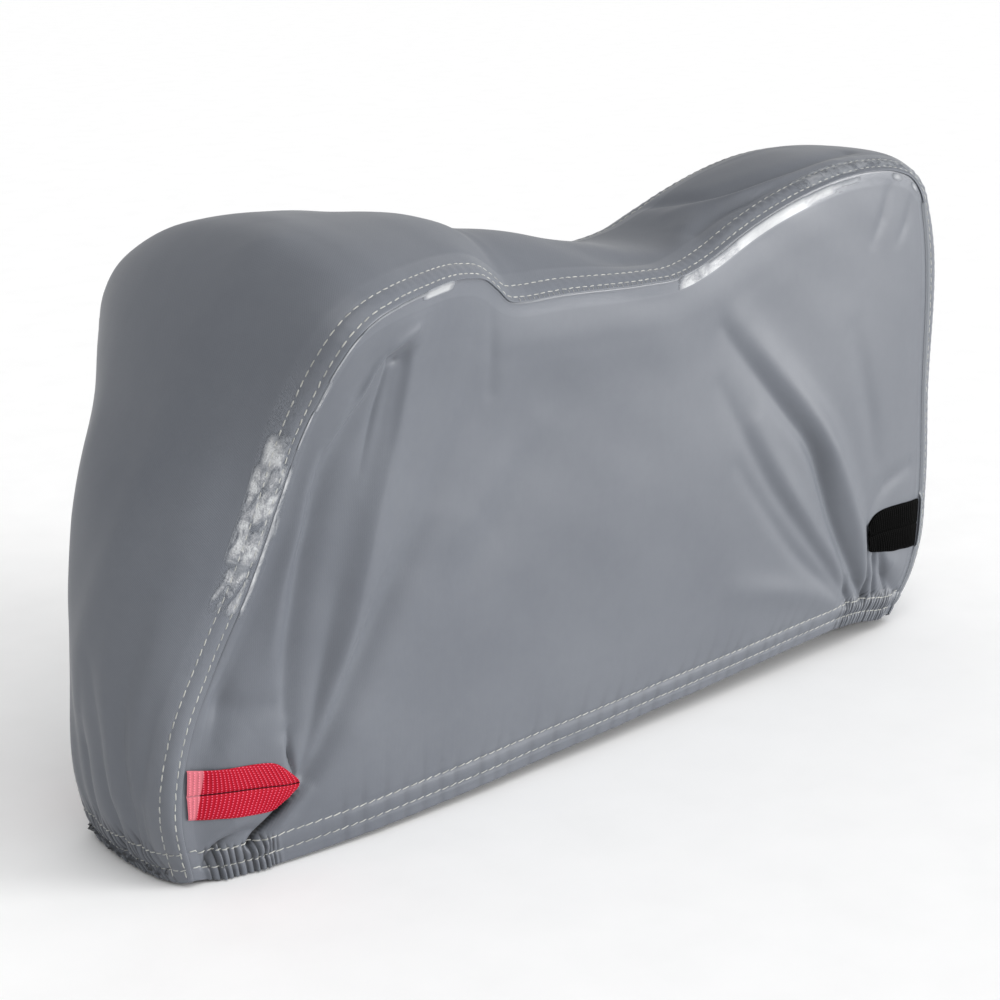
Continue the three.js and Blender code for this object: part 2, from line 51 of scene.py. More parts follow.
# The left seam from the front hem to the rear hem, as seen from the side, and the arch over it.
# x, z, half width, crown of the arch, flatness (2 is round), edge (0.5 smooth, 1 a corner)
SEAM = np.array([
    [951, 8, 150, 34, 2, 0.5], [970, 120, 152, 54, 2, 0.5], [946, 263, 154, 96, 2, 0.5],
    [900, 377, 165, 145, 2, 0.5], [848, 503, 188, 178, 2, 0.5], [804, 660, 224, 172, 2, 0.52],
    [790, 750, 256, 140, 2.1, 0.6], [778, 828, 297, 118, 2.2, 0.7], [760, 885, 325, 102, 2.3, 0.74],
    [731, 922, 334, 98, 2.4, 0.76], [692, 945, 333, 100, 2.3, 0.78], [640, 958, 323, 94, 2.2, 0.8],
    [560, 965, 297, 84, 2.1, 0.85], [426, 961, 248, 74, 2, 0.92], [376, 949, 233, 78, 2, 0.96],
    [338, 925, 222, 91, 2, 1], [303, 899, 214, 99, 2, 1], [262, 892, 207, 96, 2, 1],
    [180, 889, 198, 86, 2, 1], [-60, 874, 184, 48, 2.4, 1], [-145, 872, 178, 36, 2.8, 1],
    [-205, 880, 168, 27, 3.2, 1], [-262, 893, 158, 24, 3.6, 1], [-340, 922, 152, 25, 4, 1],
    [-430, 953, 150, 28, 4, 1], [-540, 982, 150, 30, 4, 1], [-650, 1000, 150, 28, 4, 1],
    [-740, 1003, 149, 26, 4, 1], [-820, 993, 147, 32, 3.4, 0.9], [-872, 972, 146, 46, 2.8, 0.75],
    [-905, 937, 145, 62, 2.4, 0.6], [-925, 880, 143, 72, 2.2, 0.5], [-956, 487, 143, 70, 2, 0.5],
    [-967, 280, 143, 70, 2, 0.5], [-962, 165, 143, 64, 2, 0.5], [-943, 105, 143, 52, 2, 0.5],
    [-877, 20, 143, 34, 2, 0.5],
], float)
FRONT_CORNER_ROW, REAR_CORNER_ROW = 9, 30  # where the seam turns from a leg to the top

# Folds of the centre panel. heights at the start, middle and end (plus is a ridge), widths at the
# start and end, peak (2 is round, less is sharper), path: length from the front hem, mm left of
# the middle
CENTRE_FOLDS = [
    [(5, 11, 6), (34, 26), 2, [(790, 93), (689, 92), (579, 75), (447, 36), (329, -16), (256, -42)]],
    [(2, 7, 4), (24, 16), 2, [(535, 101), (454, 87), (351, 63), (278, 42), (219, 41), (139, 38)]],
    [(2, 7, 4), (20, 14), 2, [(476, 148), (381, 133), (293, 107), (227, 91), (153, 93)]],
    [(-3, -7, -3), (26, 24), 2, [(865, 248), (681, 221), (513, 206)]],
    [(2, 6, 3), (38, 34), 2, [(800, -120), (640, -110), (480, -100), (330, -80)]],
    [(-3, -9, -6), (15, 8), 1.6, [(300, -16), (220, -38), (160, -36), (80, -42)]],
    [(-3, -9, -6), (15, 7), 1.6, [(330, 10), (234, 23), (168, 18), (80, 24), (29, 16)]],
    [(-3, -10, -7), (17, 8), 1.6, [(417, 121), (307, 91), (241, 77), (124, 76), (58, 66)]],
    [(-2, -7, -5), (13, 7), 1.6, [(315, 140), (205, 118), (146, 101), (73, 91)]],
    [(-2, -6, -4), (24, 12), 1.8, [(360, -95), (250, -86), (130, -80), (60, -78)]],
    [(2, 5, 2), (34, 30), 2, [(1092, 26), (1041, 94), (997, 112)]],
    [(2, 4, 2), (32, 30), 2, [(1305, 77), (1326, 186), (1341, 215)]],
    [(-2, -5, -2), (30, 26), 2, [(1240, -60), (1330, -110), (1420, -120)]],
    [(-3, -9, -4), (34, 24), 2, [(1722, 59), (1781, 104), (1869, 126), (1928, 143)]],
    [(-2, -6, -3), (34, 24), 2, [(1740, -50), (1800, -90), (1890, -118), (1960, -130)]],
    [(2, 6, 3), (28, 26), 2, [(2148, 2), (2070, 50), (2008, 112)]],
    [(-6, -15, -7), (19, 14), 1.7,
     [(2090, -140), (2133, -99), (2184, 6), (2280, 54), (2390, 76), (2544, 58)]],
    [(3, 8, 4), (17, 12), 1.8, [(2096, -20), (2155, 30), (2214, 74), (2300, 92), (2456, 100)]],
    [(-6, -14, -6), (15, 9), 1.6, [(2060, 90), (2148, 84), (2199, 97), (2280, 113), (2400, 119)]],
    [(2, 5, 2), (14, 12), 2, [(2170, 124), (2236, 130), (2397, 123), (2507, 102)]],
    [(-1, -4, -2), (24, 20), 2, [(2200, -120), (2330, -95), (2480, -70)]],
    [(-2, -4, -2), (28, 26), 2, [(2780, 40), (2950, 20), (3150, 30), (3320, 10)]],
    [(2, 4, 2), (30, 28), 2, [(2800, -50), (3000, -62), (3250, -50)]],
]


def smooth_step(value):
    """0 below 0, 1 above 1, and t t (3 - 2 t) between."""
    t = np.clip(value, 0, 1)
    return t * t * (3 - 2 * t)


def lengths_along(points):
    """Length from the first point to each one, along a line or along each row of a grid."""
    steps = np.linalg.norm(np.diff(points, axis=-2), axis=-1)
    return np.concatenate([np.zeros(steps.shape[:-1] + (1,)), np.cumsum(steps, axis=-1)], axis=-1)


def curve_through(rows, lengths, at):
    """A cubic between rows, whose slope at a row is the mean of the two beside it, weighted by the
    other one's length."""
    step = np.diff(lengths)[:, None]
    rise = np.diff(rows, axis=0) / step
    inner = (rise[:-1] * step[1:] + rise[1:] * step[:-1]) / (step[1:] + step[:-1])
    slope = np.concatenate([rise[:1], inner, rise[-1:]])
    k = np.clip(np.searchsorted(lengths, at, side="right") - 1, 0, len(rows) - 2)
    t = ((at - lengths[k]) / step[k, 0])[..., None]
    start = (1 + 2 * t) * (1 - t) ** 2 * rows[k] + t * (1 - t) ** 2 * slope[k] * step[k]
    return start + t * t * (3 - 2 * t) * rows[k + 1] + t * t * (t - 1) * slope[k + 1] * step[k]


SEAM_LENGTHS = lengths_along(SEAM[:, :3])
SEAM_TOTAL = SEAM_LENGTHS[-1]


def seam_at(length):
    """The seam table's columns at lengths from the front hem."""
    return curve_through(SEAM, SEAM_LENGTHS, np.clip(length, 0, SEAM_TOTAL))


def arch_direction(length):
    """Unit x, z that the arch rises along: square to the seam, the mean of nine over 120 mm."""
    total = np.zeros(length.shape + (2,))
    for shift in range(-60, 61, 15):
        middle = np.clip(length + shift, 0, SEAM_TOTAL)
        step = seam_at(middle + 2) - seam_at(middle - 2)
        square = np.stack([step[..., 1], -step[..., 0]], -1)
        total += square / np.linalg.norm(square, axis=-1, keepdims=True)
    return total / np.linalg.norm(total, axis=-1, keepdims=True)


def along_rows(at, positions, values):
    """Each row's value at its own places, straight between its points. The rows are set end to end,
    a step apart, so that one interpolation does them all."""
    step = 1e5 * np.arange(len(positions))[:, None]
    found = np.interp((at + step).ravel(), (positions + step).ravel(), values.ravel())
    return found.reshape(at.shape)


def smooth_path(path, count):
    """Points on the curve through a fold's path: in each stretch a cubic of its four nearest
    places (Catmull-Rom)."""
    p = np.array(path, float)
    p = np.concatenate([[2 * p[0] - p[1]], p, [2 * p[-1] - p[-2]]])
    at = np.linspace(0, len(path) - 1, count)
    k = np.minimum(at.astype(int), len(path) - 2)
    t = (at - k)[:, None]
    a, b, c, d = p[k], p[k + 1], p[k + 2], p[k + 3]
    return 0.5 * (2 * b + (c - a) * t + (2 * a - 5 * b + 4 * c - d) * t ** 2
                  + (3 * b - a - 3 * c + d) * t ** 3)


def fold_relief(folds, first, second):
    """Sum of the folds at places: each is height exp(-(distance / 1.4 width)^peak) beside its
    path, with height and width changing along it."""
    relief = np.zeros_like(first)
    for heights, widths, peak, path in folds:
        line = smooth_path(path, 6 * len(path))
        best = np.full(first.shape, 1e12)
        reach = np.zeros(first.shape)
        for k in range(len(line) - 1):
            step = line[k + 1] - line[k]
            one, two = first - line[k, 0], second - line[k, 1]
            share = np.clip((one * step[0] + two * step[1]) / (step @ step), 0, 1)
            gap = (one - share * step[0]) ** 2 + (two - share * step[1]) ** 2
            nearer = gap < best
            best = np.where(nearer, gap, best)
            reach = np.where(nearer, (k + share) / (len(line) - 1), reach)
        height = np.interp(reach, [0, 0.5, 1], heights)
        width = np.interp(reach, [0, 1], widths)
        relief += height * np.exp(-(np.sqrt(best) / (1.4 * width)) ** peak)
    return relief


def unevenness(first, second, size, seed):
    """Slack of hand-fitted cloth: the sum of eight low waves 90 to 420 mm long in all directions."""
    chance = np.random.default_rng(seed)
    waves = zip(chance.uniform(90, 420, 8), chance.uniform(0, np.pi, 8), chance.uniform(0, 6.28, 8))
    return size * sum(np.sin(TURN * (first * np.cos(turn) + second * np.sin(turn)) / length + start)
                      * length / 900 for length, turn, start in waves)


def pleats(along, above, zone, pitch, depth, longest, seed):
    """Pleats of a hem drawn up by elastic. Across a pleat the height is (1 - |2 f - 1|^2.6)^0.55, round on
    top with a sharp valley on both sides; it is pinched at both rows of stitches, flares at the hem and dies
    away above the casing, each pleat at its own height up to the longest. zone is where along the hem the
    pleats begin, are full, are full no more, and end. Also returns how deep in a valley each place is, |2 f -
    1|^2.6, less where a pleat is under 5 mm deep, which is painted as shade at the bottoms of the pleats."""
    chance = np.random.default_rng(seed)
    count = int((zone[3] - zone[0]) / pitch * 1.5) + 4
    valleys = zone[0] - pitch + np.cumsum(pitch * chance.uniform(0.62, 1.38, count))
    tall = chance.uniform(0.55, 1.1, count)
    reach = chance.uniform(0.2, 1, count) * longest
    place = along + 3.0 * np.sin(above / 21.0) * smooth_step(above / 60)
    k = np.clip(np.searchsorted(valleys, place) - 1, 0, count - 2)
    f = np.clip((place - valleys[k]) / (valleys[k + 1] - valleys[k]), 0, 1)
    round_top = (1 - np.abs(2 * f - 1) ** 2.6) ** 0.55
    low, high = HEM_ROW_HEIGHTS
    pinch = 1 - 0.45 * np.exp(-((above - low) / 5) ** 2) - 0.4 * np.exp(-((above - high) / 5) ** 2)
    fade = np.exp(-(np.maximum(0, above - high) / reach[k]) ** 1.3)
    share = smooth_step((along - zone[0]) / (zone[1] - zone[0]))
    share *= smooth_step((zone[3] - along) / (zone[3] - zone[2]))
    depth = depth * share * pinch * fade
    return depth * (tall[k] * round_top - 0.45), smooth_step(depth / 5) * np.abs(2 * f - 1) ** 2.6


PUCKERS = np.array([[0, 0.5], [480, 0.6], [560, 1.2], [780, 0.8], [980, 1.1], [1350, 0.8], [1500, 0.5],
                    [2050, 1.2], [2180, 3.4], [2620, 3.0], [2750, 0.8], [3656, 0.4]])  # length, height


def puckers(along, distance):
    """Slanting puckers about 23 mm apart between the two rows of the seam, max(0, sin)^1.4, where the
    thread was drawn tight."""
    wave = np.sin(TURN * (along / 23 + 0.4 * np.sin(along / 61) + distance / 80))
    between = np.exp(-((distance - 23) / 12) ** 2)
    return np.interp(along, PUCKERS[:, 0], PUCKERS[:, 1]) * between * np.maximum(0, wave) ** 1.4


def sewn_rows(distance, rows, along):
    """Dips where rows of stitches draw the cloth down, deepest at each stitch, and the slight puff
    between two rows."""
    dips = sum(np.exp(-((distance - row) / 3.2) ** 2) for row in rows)
    middle = np.mean(rows)
    puff = np.exp(-((distance - middle) / (0.32 * (rows[1] - rows[0]))) ** 2)
    return -1.1 * dips * (0.8 + 0.2 * np.cos(TURN * along / STITCH)) + 0.7 * puff


def grid_faces(indices):
    """Four-sided faces between the neighbours of a grid of point numbers."""
    corners = [indices[:-1, :-1], indices[1:, :-1], indices[1:, 1:], indices[:-1, 1:]]
    return np.stack([corner.ravel() for corner in corners], 1)


def face_normals(points, faces):
    """The cross product of each face's diagonals."""
    return np.cross(points[faces[:, 2]] - points[faces[:, 0]], points[faces[:, 3]] - points[faces[:, 1]])


def point_normals(points, faces):
    """Unit normal of each point: the sum of the cross products of its faces' diagonals."""
    across = face_normals(points, faces)
    total = np.stack([sum(np.bincount(faces[:, k], across[:, axis], len(points)) for k in range(4))
                      for axis in range(3)], 1)
    return total / np.maximum(np.linalg.norm(total, axis=1, keepdims=True), 1e-9)


def facing(faces, points, outward):
    """The faces, turned over if together they point against the outward directions."""
    together = np.sum(face_normals(points, faces) * outward[faces[:, 0]])
    return faces if together > 0 else faces[:, ::-1]


def turned_edge(surface, line, inner, radius, back):
    """Adds a cloth edge turned under along a line of points: half a circle below the edge, then
    straight back inside. inner is the line of points beside it."""
    points, normals = surface["points"], surface["normals"]
    beyond = points[line] - points[inner]
    beyond /= np.linalg.norm(beyond, axis=1, keepdims=True)
    normal = normals[line]
    rows = [points[line] + radius * (beyond * np.sin(turn) - normal * (1 - np.cos(turn)))
            for turn in np.radians([40, 80, 120, 180])]
    rows += [rows[-1] - beyond * back / 2 - 0.3 * normal, rows[-1] - beyond * back]
    first = len(points)
    new = first + np.arange(len(rows) * len(line)).reshape(len(rows), len(line))
    surface["points"] = np.concatenate([points, *rows])
    outward = np.concatenate([normals, *[normal + beyond] * len(rows)])
    strip = grid_faces(np.concatenate([line[None], new]))
    start = strip[:len(line) - 1]
    strip = strip if facing(start, surface["points"], outward) is start else strip[:, ::-1]
    surface["faces"] = np.concatenate([surface["faces"], strip])
    for name in ("uv", "normals", *CLOTH_MARKS):
        surface[name] = np.concatenate([surface[name]] + [surface[name][line]] * len(rows))


def make_piece(name, points, faces, material, uv=None, marks=None):
    """A smooth mesh object from points in mm and four-sided faces. uv has a place in metres and
    marks have a named value for each point."""
    mesh = bpy.data.meshes.new(name)
    mesh.vertices.add(len(points))
    mesh.vertices.foreach_set("co", ((points + PLACE) / 1000).astype(np.float32).ravel())
    mesh.loops.add(faces.size)
    mesh.loops.foreach_set("vertex_index", faces.astype(np.int32).ravel())
    mesh.polygons.add(len(faces))
    mesh.polygons.foreach_set("loop_start", np.arange(0, faces.size, 4, dtype=np.int32))
    mesh.polygons.foreach_set("use_smooth", np.ones(len(faces), bool))
    mesh.update(calc_edges=True)
    if uv is not None:
        corner_uv = uv[faces.ravel()].astype(np.float32)
        mesh.uv_layers.new(name="pattern").data.foreach_set("uv", corner_uv.ravel())
    for mark, values in (marks or {}).items():
        mesh.attributes.new(mark, "FLOAT", "POINT").data.foreach_set("value", values.astype(np.float32))
    mesh.materials.append(material)
    piece = bpy.data.objects.new(name, mesh)
    bpy.context.scene.collection.objects.link(piece)
    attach(piece, "root")
    return piece


def linear(colour):
    """An sRGB hex colour as linear red, green, blue and 1."""
    parts = np.array([int(colour[k:k + 2], 16) for k in (1, 3, 5)]) / 255
    return (*np.where(parts <= 0.04045, parts / 12.92, ((parts + 0.055) / 1.055) ** 2.4), 1.0)


def add(tree, kind, inputs=None, **settings):
    """Adds a shader node with its settings. inputs are values, or sockets or nodes (their first
    output) to link, by name or number."""
    made = tree.nodes.new("ShaderNode" + kind)
    for name, value in settings.items():
        setattr(made, name, value)
    for name, value in (inputs or {}).items():
        if isinstance(value, bpy.types.Node):
            value = value.outputs[0]
        if isinstance(value, bpy.types.NodeSocket):
            tree.links.new(value, made.inputs[name])
        else:
            made.inputs[name].default_value = value
    return made


def coloured(tree, share, stops):
    """Colour ramp on a share, with stops of place and hex colour."""
    ramp = add(tree, "ValToRGB", {"Fac": share})
    while len(ramp.color_ramp.elements) < len(stops):
        ramp.color_ramp.elements.new(0.5)
    for element, (place, colour) in zip(ramp.color_ramp.elements, stops):
        element.position = place
        element.color = linear(colour)
    return ramp.outputs["Color"]


def new_material(name):
    """An empty material and its node tree."""
    material = bpy.data.materials.new(name)
    material.use_nodes = True
    material.node_tree.nodes.clear()
    return material, material.node_tree


CLOTH_MARKS = ("valley", "taped")  # painted shade at the bottoms of creases and gathers, and whether the tape is bonded there


def coated_polyester():
    """Plain-woven polyester with a rolled polyurethane coat: a satin grey that keeps a faint trace of the
    weave, with slightly shinier rubbed patches, and painted shade at the bottoms of deep creases and gathers."""
    material, tree = new_material("polyester_polyurethane_coated")
    place = add(tree, "TexCoord").outputs["Object"]
    pattern = add(tree, "UVMap", uv_map="pattern").outputs["UV"]
    # Broad and small blotches, about 300 mm and 25 mm across, where the coat is thicker or thinner.
    broad = add(tree, "TexNoise", {"Vector": place, "Scale": 3.3, "Detail": 3.0})
    small = add(tree, "TexNoise", {"Vector": place, "Scale": 40.0, "Detail": 4.0, "Roughness": 0.6})
    blotch = add(tree, "Mix", {0: 0.28, 2: broad.outputs["Fac"], 3: small.outputs["Fac"]})
    # The real threads are 0.4 mm apart, too fine to show, so the weave is drawn 3 mm apart.
    warp = add(tree, "TexWave", {"Vector": pattern, "Scale": 148.0, "Distortion": 0.6,
                                 "Detail Scale": 2.0}, bands_direction="DIAGONAL")
    weft = add(tree, "TexWave", {"Vector": pattern, "Scale": 105.0, "Distortion": 0.4}, bands_direction="X")
    weave = add(tree, "Mix", {0: 0.25, 2: warp.outputs["Fac"], 3: weft.outputs["Fac"]})
    shade = add(tree, "Mix", {0: 0.16, 2: blotch, 3: weave})
    plain = coloured(tree, shade, [(0.3, "#5a5e66"), (0.7, "#63676e")])
    # Painted shade: the colour is darkened towards near black at the bottoms of overlapping creases and of
    # the gathers, where hardly any light arrives.
    valley, taped = (add(tree, "Attribute", attribute_name=mark).outputs["Fac"]
                     for mark in CLOTH_MARKS)
    shaded_colour = add(tree, "Mix", {0: valley, 6: plain, 7: linear("#08090a")}, data_type="RGBA").outputs[2]
    # Under the bonded tape the cloth is a little paler and glossier.
    pale = add(tree, "Math", {0: taped, 1: 0.07}, operation="MULTIPLY")
    colour = add(tree, "Mix", {0: pale, 6: shaded_colour, 7: linear("#8b8f96")}, data_type="RGBA").outputs[2]
    height = add(tree, "Math", {0: small.outputs["Fac"], 1: 1.6, 2: weave}, operation="MULTIPLY_ADD")
    bump = add(tree, "Bump", {"Strength": 0.2, "Distance": 0.0006, "Height": height})
    gloss = add(tree, "MapRange", {"Value": broad.outputs["Fac"], "From Min": 0.3, "From Max": 0.7,
                                   "To Min": 0.42, "To Max": 0.54})
    gloss = add(tree, "Math", {0: taped, 1: -0.15, 2: gloss}, operation="MULTIPLY_ADD")
    shader = add(tree, "BsdfPrincipled", {
        "Base Color": colour, "Roughness": gloss, "IOR": 1.48, "Normal": bump,
        "Sheen Weight": 0.08, "Sheen Roughness": 0.4})
    add(tree, "OutputMaterial", {"Surface": shader})
    return material


cloth = coated_polyester()

hem_steps = np.arange(0, 72, 3.0)
row_lengths = np.concatenate([hem_steps, np.linspace(72, SEAM_TOTAL - 72, 588),
                              SEAM_TOTAL - hem_steps[::-1]])
seam_row = seam_at(row_lengths)
# The arch is crown (1 - |place|^flatness)^edge, with places closer together near the seams.
share = 1 - np.arange(241) / 120
place = np.sign(share) * (1 - (1 - np.abs(share)) ** 1.6)
arch_y = seam_row[:, 2:3] * place
arch_height = seam_row[:, 3:4] * np.maximum(0, 1 - np.abs(place) ** seam_row[:, 4:5]) ** seam_row[:, 5:6]
developed = lengths_along(np.stack([arch_y, arch_height], -1))
centre_width = developed[:, -1:]

# Distances of the lines across from an edge, close together at the fold and the stitches.
EDGE_LINES = np.array([0, 1.2, 3, 5.5, 8, 10.5, 13, 15.5, 18.5, 22, 25.5, 29, 32, 34, 36, 38, 40, 43,
                       47, 51, 55, 58.5, TAPE_ON_TOP])
middle_lines = TAPE_ON_TOP + (centre_width - 2 * TAPE_ON_TOP) * np.arange(1, 96) / 96
edge_lines = np.repeat(EDGE_LINES[None], len(row_lengths), 0)
from_left = np.concatenate([edge_lines, middle_lines, (centre_width - edge_lines)[:, ::-1]], axis=1)
left_of_middle = centre_width / 2 - from_left
from_edge = np.minimum(from_left, centre_width - from_left)
along = np.repeat(row_lengths[:, None], from_left.shape[1], 1)

centre_height = along_rows(from_left, developed, arch_height)
slack = fold_relief(CENTRE_FOLDS, along, left_of_middle) + unevenness(along, left_of_middle, 1.2, 7)
centre_height += slack * smooth_step((from_edge - 20) / 65)
rise = arch_direction(row_lengths)
centre_grid = np.stack([seam_row[:, :1] + centre_height * rise[:, :1],
                        along_rows(from_left, developed, arch_y),
                        seam_row[:, 1:2] + centre_height * rise[:, 1:]], -1)
centre_indices = np.arange(along.size).reshape(along.shape)
centre = {"points": centre_grid.reshape(-1, 3), "faces": grid_faces(centre_indices)}
centre["normals"] = point_normals(centre["points"], centre["faces"])
outward = np.stack([rise[:, :1] + 0 * along, 0 * along, rise[:, 1:] + 0 * along], -1)
centre["faces"] = facing(centre["faces"], centre["points"], outward.reshape(-1, 3))
centre["normals"] = point_normals(centre["points"], centre["faces"])
above_hem = np.minimum(along, SEAM_TOTAL - along)
fine = sewn_rows(from_edge, SEAM_ROW_DISTANCES, along)
fine += sewn_rows(above_hem, HEM_ROW_HEIGHTS, left_of_middle)
fine += puckers(along, from_edge) * np.where(left_of_middle > 0, 1, 0.35)
front_pleats, front_pleat_shade = pleats(left_of_middle + 0.45 * above_hem, above_hem,
                                     (-150, -110, 110, 150), 12, 5.2, 30, 3)
rear_pleats, rear_pleat_shade = pleats(left_of_middle, above_hem, (-170, -120, 120, 170), 13, 3.6, 40, 4)
in_front = along < 400
fine += np.where(in_front, front_pleats, rear_pleats)
# The bottoms of the pleats are painted in shade.
centre["valley"] = 0.9 * np.where(in_front, front_pleat_shade, rear_pleat_shade).ravel()
centre["points"] = centre["points"] + centre["normals"] * fine.reshape(-1, 1)
centre["normals"] = point_normals(centre["points"], centre["faces"])
centre["uv"] = np.stack([along, left_of_middle], -1).reshape(-1, 2) / 1000
centre_grid = centre["points"].reshape(centre_grid.shape)
centre_normals = centre["normals"].reshape(centre_grid.shape)
centre["taped"] = smooth_step((TAPE_ON_TOP + 1 - from_edge.ravel()) / 2)
# Both long edges are folded under by 7 mm, both ends by 26 mm.
for lines, radius, back in [(centre_indices.T, 1.0, 7), (centre_indices, 1.6, 26)]:
    turned_edge(centre, lines[0], lines[1], radius, back)
    turned_edge(centre, lines[-1], lines[-2], radius, back)

centre_panel = make_piece("centre_panel_cloth", centre["points"], centre["faces"], cloth,
                          centre["uv"], {mark: centre[mark] for mark in CLOTH_MARKS})
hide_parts("centre_panel")

# Side panels. One flat pattern piece of the same cloth on each side, hung from the seam: a 40 mm
# strip lies under the centre panel's folded edge, and the lower edge is turned up into the casing,
# whose elastic gathers it at both ends.

# The left lower edge from the front to the rear: x, half width, z
HEM = np.array([
    [951, 150, 8], [905, 168, 0], [813, 185, 1], [690, 196, 4], [551, 201, 8], [313, 198, 16],
    [52, 191, 24], [-233, 182, 32], [-409, 175, 37], [-583, 167, 41], [-700, 159, 41],
    [-770, 154, 32], [-830, 149, 20], [-877, 143, 20],
], float)
HEM_LENGTHS = lengths_along(HEM)
HEM_TOTAL = HEM_LENGTHS[-1]
FLANK_BULGE = 32.0  # how far the middle of a side panel swells outward
FIELD_DOWN, FIELD_ALONG = 880, 1850  # rough size of the field inside the border
BORDER_LINES = np.array([0, 3, 7, 11.5, 16, 21, 26.0])  # lines beside the seam, up to the tape's edge
LAP_LINES = np.array([2.0, 8, 18, 29, 40])  # lines of the strip under the centre panel
BORDER = 26  # width of the border

# Folds of a side panel, with the same columns as the centre panel's; path: x and z along it
LEFT_FOLDS = [
    [(3, 8, 2), (12, 11), 1.8,
     [(700, 800), (745, 708), (757, 608), (775, 546), (792, 472), (806, 380)]],
    [(-8, -14, -5), (24, 13), 1.8,
     [(655, 842), (690, 750), (716, 700), (734, 610), (752, 500), (768, 380), (777, 240)]],
    [(-1, -4, -2), (8, 7), 1.6,
     [(724, 756), (732, 721), (740, 623), (752, 550), (763, 476), (778, 360), (781, 274)]],
    [(10, 23, 0), (40, 14), 1.7,
     [(571, 880), (574, 790), (590, 700), (626, 545), (661, 386), (700, 259), (742, 168)]],
    [(3, 12, 5), (90, 40), 2, [(430, 880), (450, 700), (540, 420), (655, 240)]],
    [(-2, -5, -5), (13, 8), 1.8, [(684, 475), (718, 299), (751, 152)]],
    [(-3, -14, -12), (46, 14), 1.8, [(350, 800), (427, 685), (506, 540), (580, 430), (672, 270), (742, 143)]],
    [(2, 7, 2), (26, 12), 2, [(440, 735), (525, 600), (605, 470), (682, 320), (735, 190)]],
    [(-2, -7, -3), (48, 40), 2, [(202, 672), (322, 496), (438, 440)]],
    [(2, 6, 3), (32, 28), 2, [(228, 659), (380, 513), (470, 360)]],
    [(2, 5, 3), (34, 22), 2, [(520, 330), (640, 200), (720, 120)]],
    [(-3, -22, -16), (6, 4), 1.3, [(746, 134), (761, 120), (799, 94), (837, 67), (854, 50)]],
    [(3, 5, 4), (10, 9), 2, [(742, 124), (794, 74), (842, 36)]],
    [(-5, -13, -9), (7, 6), 1.3, [(850, 78), (889, 72), (916, 54), (930, 32)]],
    [(2, 5, 2), (12, 10), 2, [(832, 104), (880, 96), (920, 70)]],
    [(-2, -12, -10), (4, 3), 1.2, [(776, 240), (774, 190), (762, 150)]],
    [(-4, -9, -4), (7, 6), 1.4, [(638, 868), (603, 858), (572, 868)]],
    [(-7, -9, -2), (7, 9), 1.4, [(622, 862), (629, 806), (640, 740), (652, 675)]],
    [(-8, -8, -2), (15, 18), 3, [(598, 864), (600, 790), (607, 720), (622, 640)]],
    [(4, 9, 4), (7, 7), 1.6, [(727, 735), (704, 771), (675, 806), (656, 850), (630, 880), (572, 905)]],
    [(-1, -3, -2), (10, 10), 1.8, [(355, 894), (347, 829), (339, 742)]],
    [(-2, -7, -3), (16, 14), 1.8, [(915, 429), (893, 320), (908, 245)]],
    [(-3, -6, -4), (17, 13), 1.8, [(907, 316), (863, 293), (810, 294)]],
    [(3, 7, 3), (26, 22), 2, [(840, 250), (890, 226), (930, 214)]],
    [(-4, -18, -12), (17, 9), 1.5,
     [(-287, 753), (-462, 564), (-554, 459), (-633, 295), (-713, 164), (-765, 89)]],
    [(4, 17, 9), (28, 18), 2, [(-341, 744), (-509, 576), (-610, 452), (-709, 279), (-768, 139)]],
    [(-2, -8, -8), (16, 10), 1.7, [(-278, 638), (-416, 429), (-527, 299), (-648, 169), (-717, 101)]],
    [(3, 8, 5), (22, 18), 2, [(-384, 539), (-462, 420), (-558, 292), (-688, 152)]],
    [(-2, -5, -4), (14, 11), 1.8, [(-329, 469), (-430, 343), (-514, 248), (-626, 152), (-691, 100)]],
    [(2, 6, 3), (22, 18), 2, [(-329, 217), (-480, 176), (-651, 116)]],
    [(-2, -5, -2), (22, 18), 2, [(-681, 679), (-739, 510), (-771, 395)]],
    [(-2, -6, -3), (15, 13), 1.8, [(-764, 282), (-816, 330), (-905, 351)]],
    [(-4, -8, -5), (12, 11), 1.6, [(-771, 188), (-840, 121), (-892, 66)]],
    [(-2, -9, -9), (6, 5), 1.5, [(-791, 213), (-793, 184), (-806, 86)]],
    [(-2, -9, -9), (6, 5), 1.5, [(-751, 268), (-760, 219), (-774, 86)]],
    [(-1, -7, -7), (6, 5), 1.5, [(-650, 226), (-683, 168), (-714, 90)]],
    [(-1, -8, -8), (6, 5), 1.5, [(-804, 188), (-817, 169), (-856, 80)]],
    [(3, 7, 3), (20, 18), 2, [(-800, 180), (-860, 140), (-915, 120)]],
    [(-1, -3, -1), (11, 10), 1.8, [(-790, 960), (-770, 905), (-742, 860)]],
    [(-1, -3, -1), (10, 9), 1.8, [(-868, 925), (-850, 880), (-826, 850)]],
]
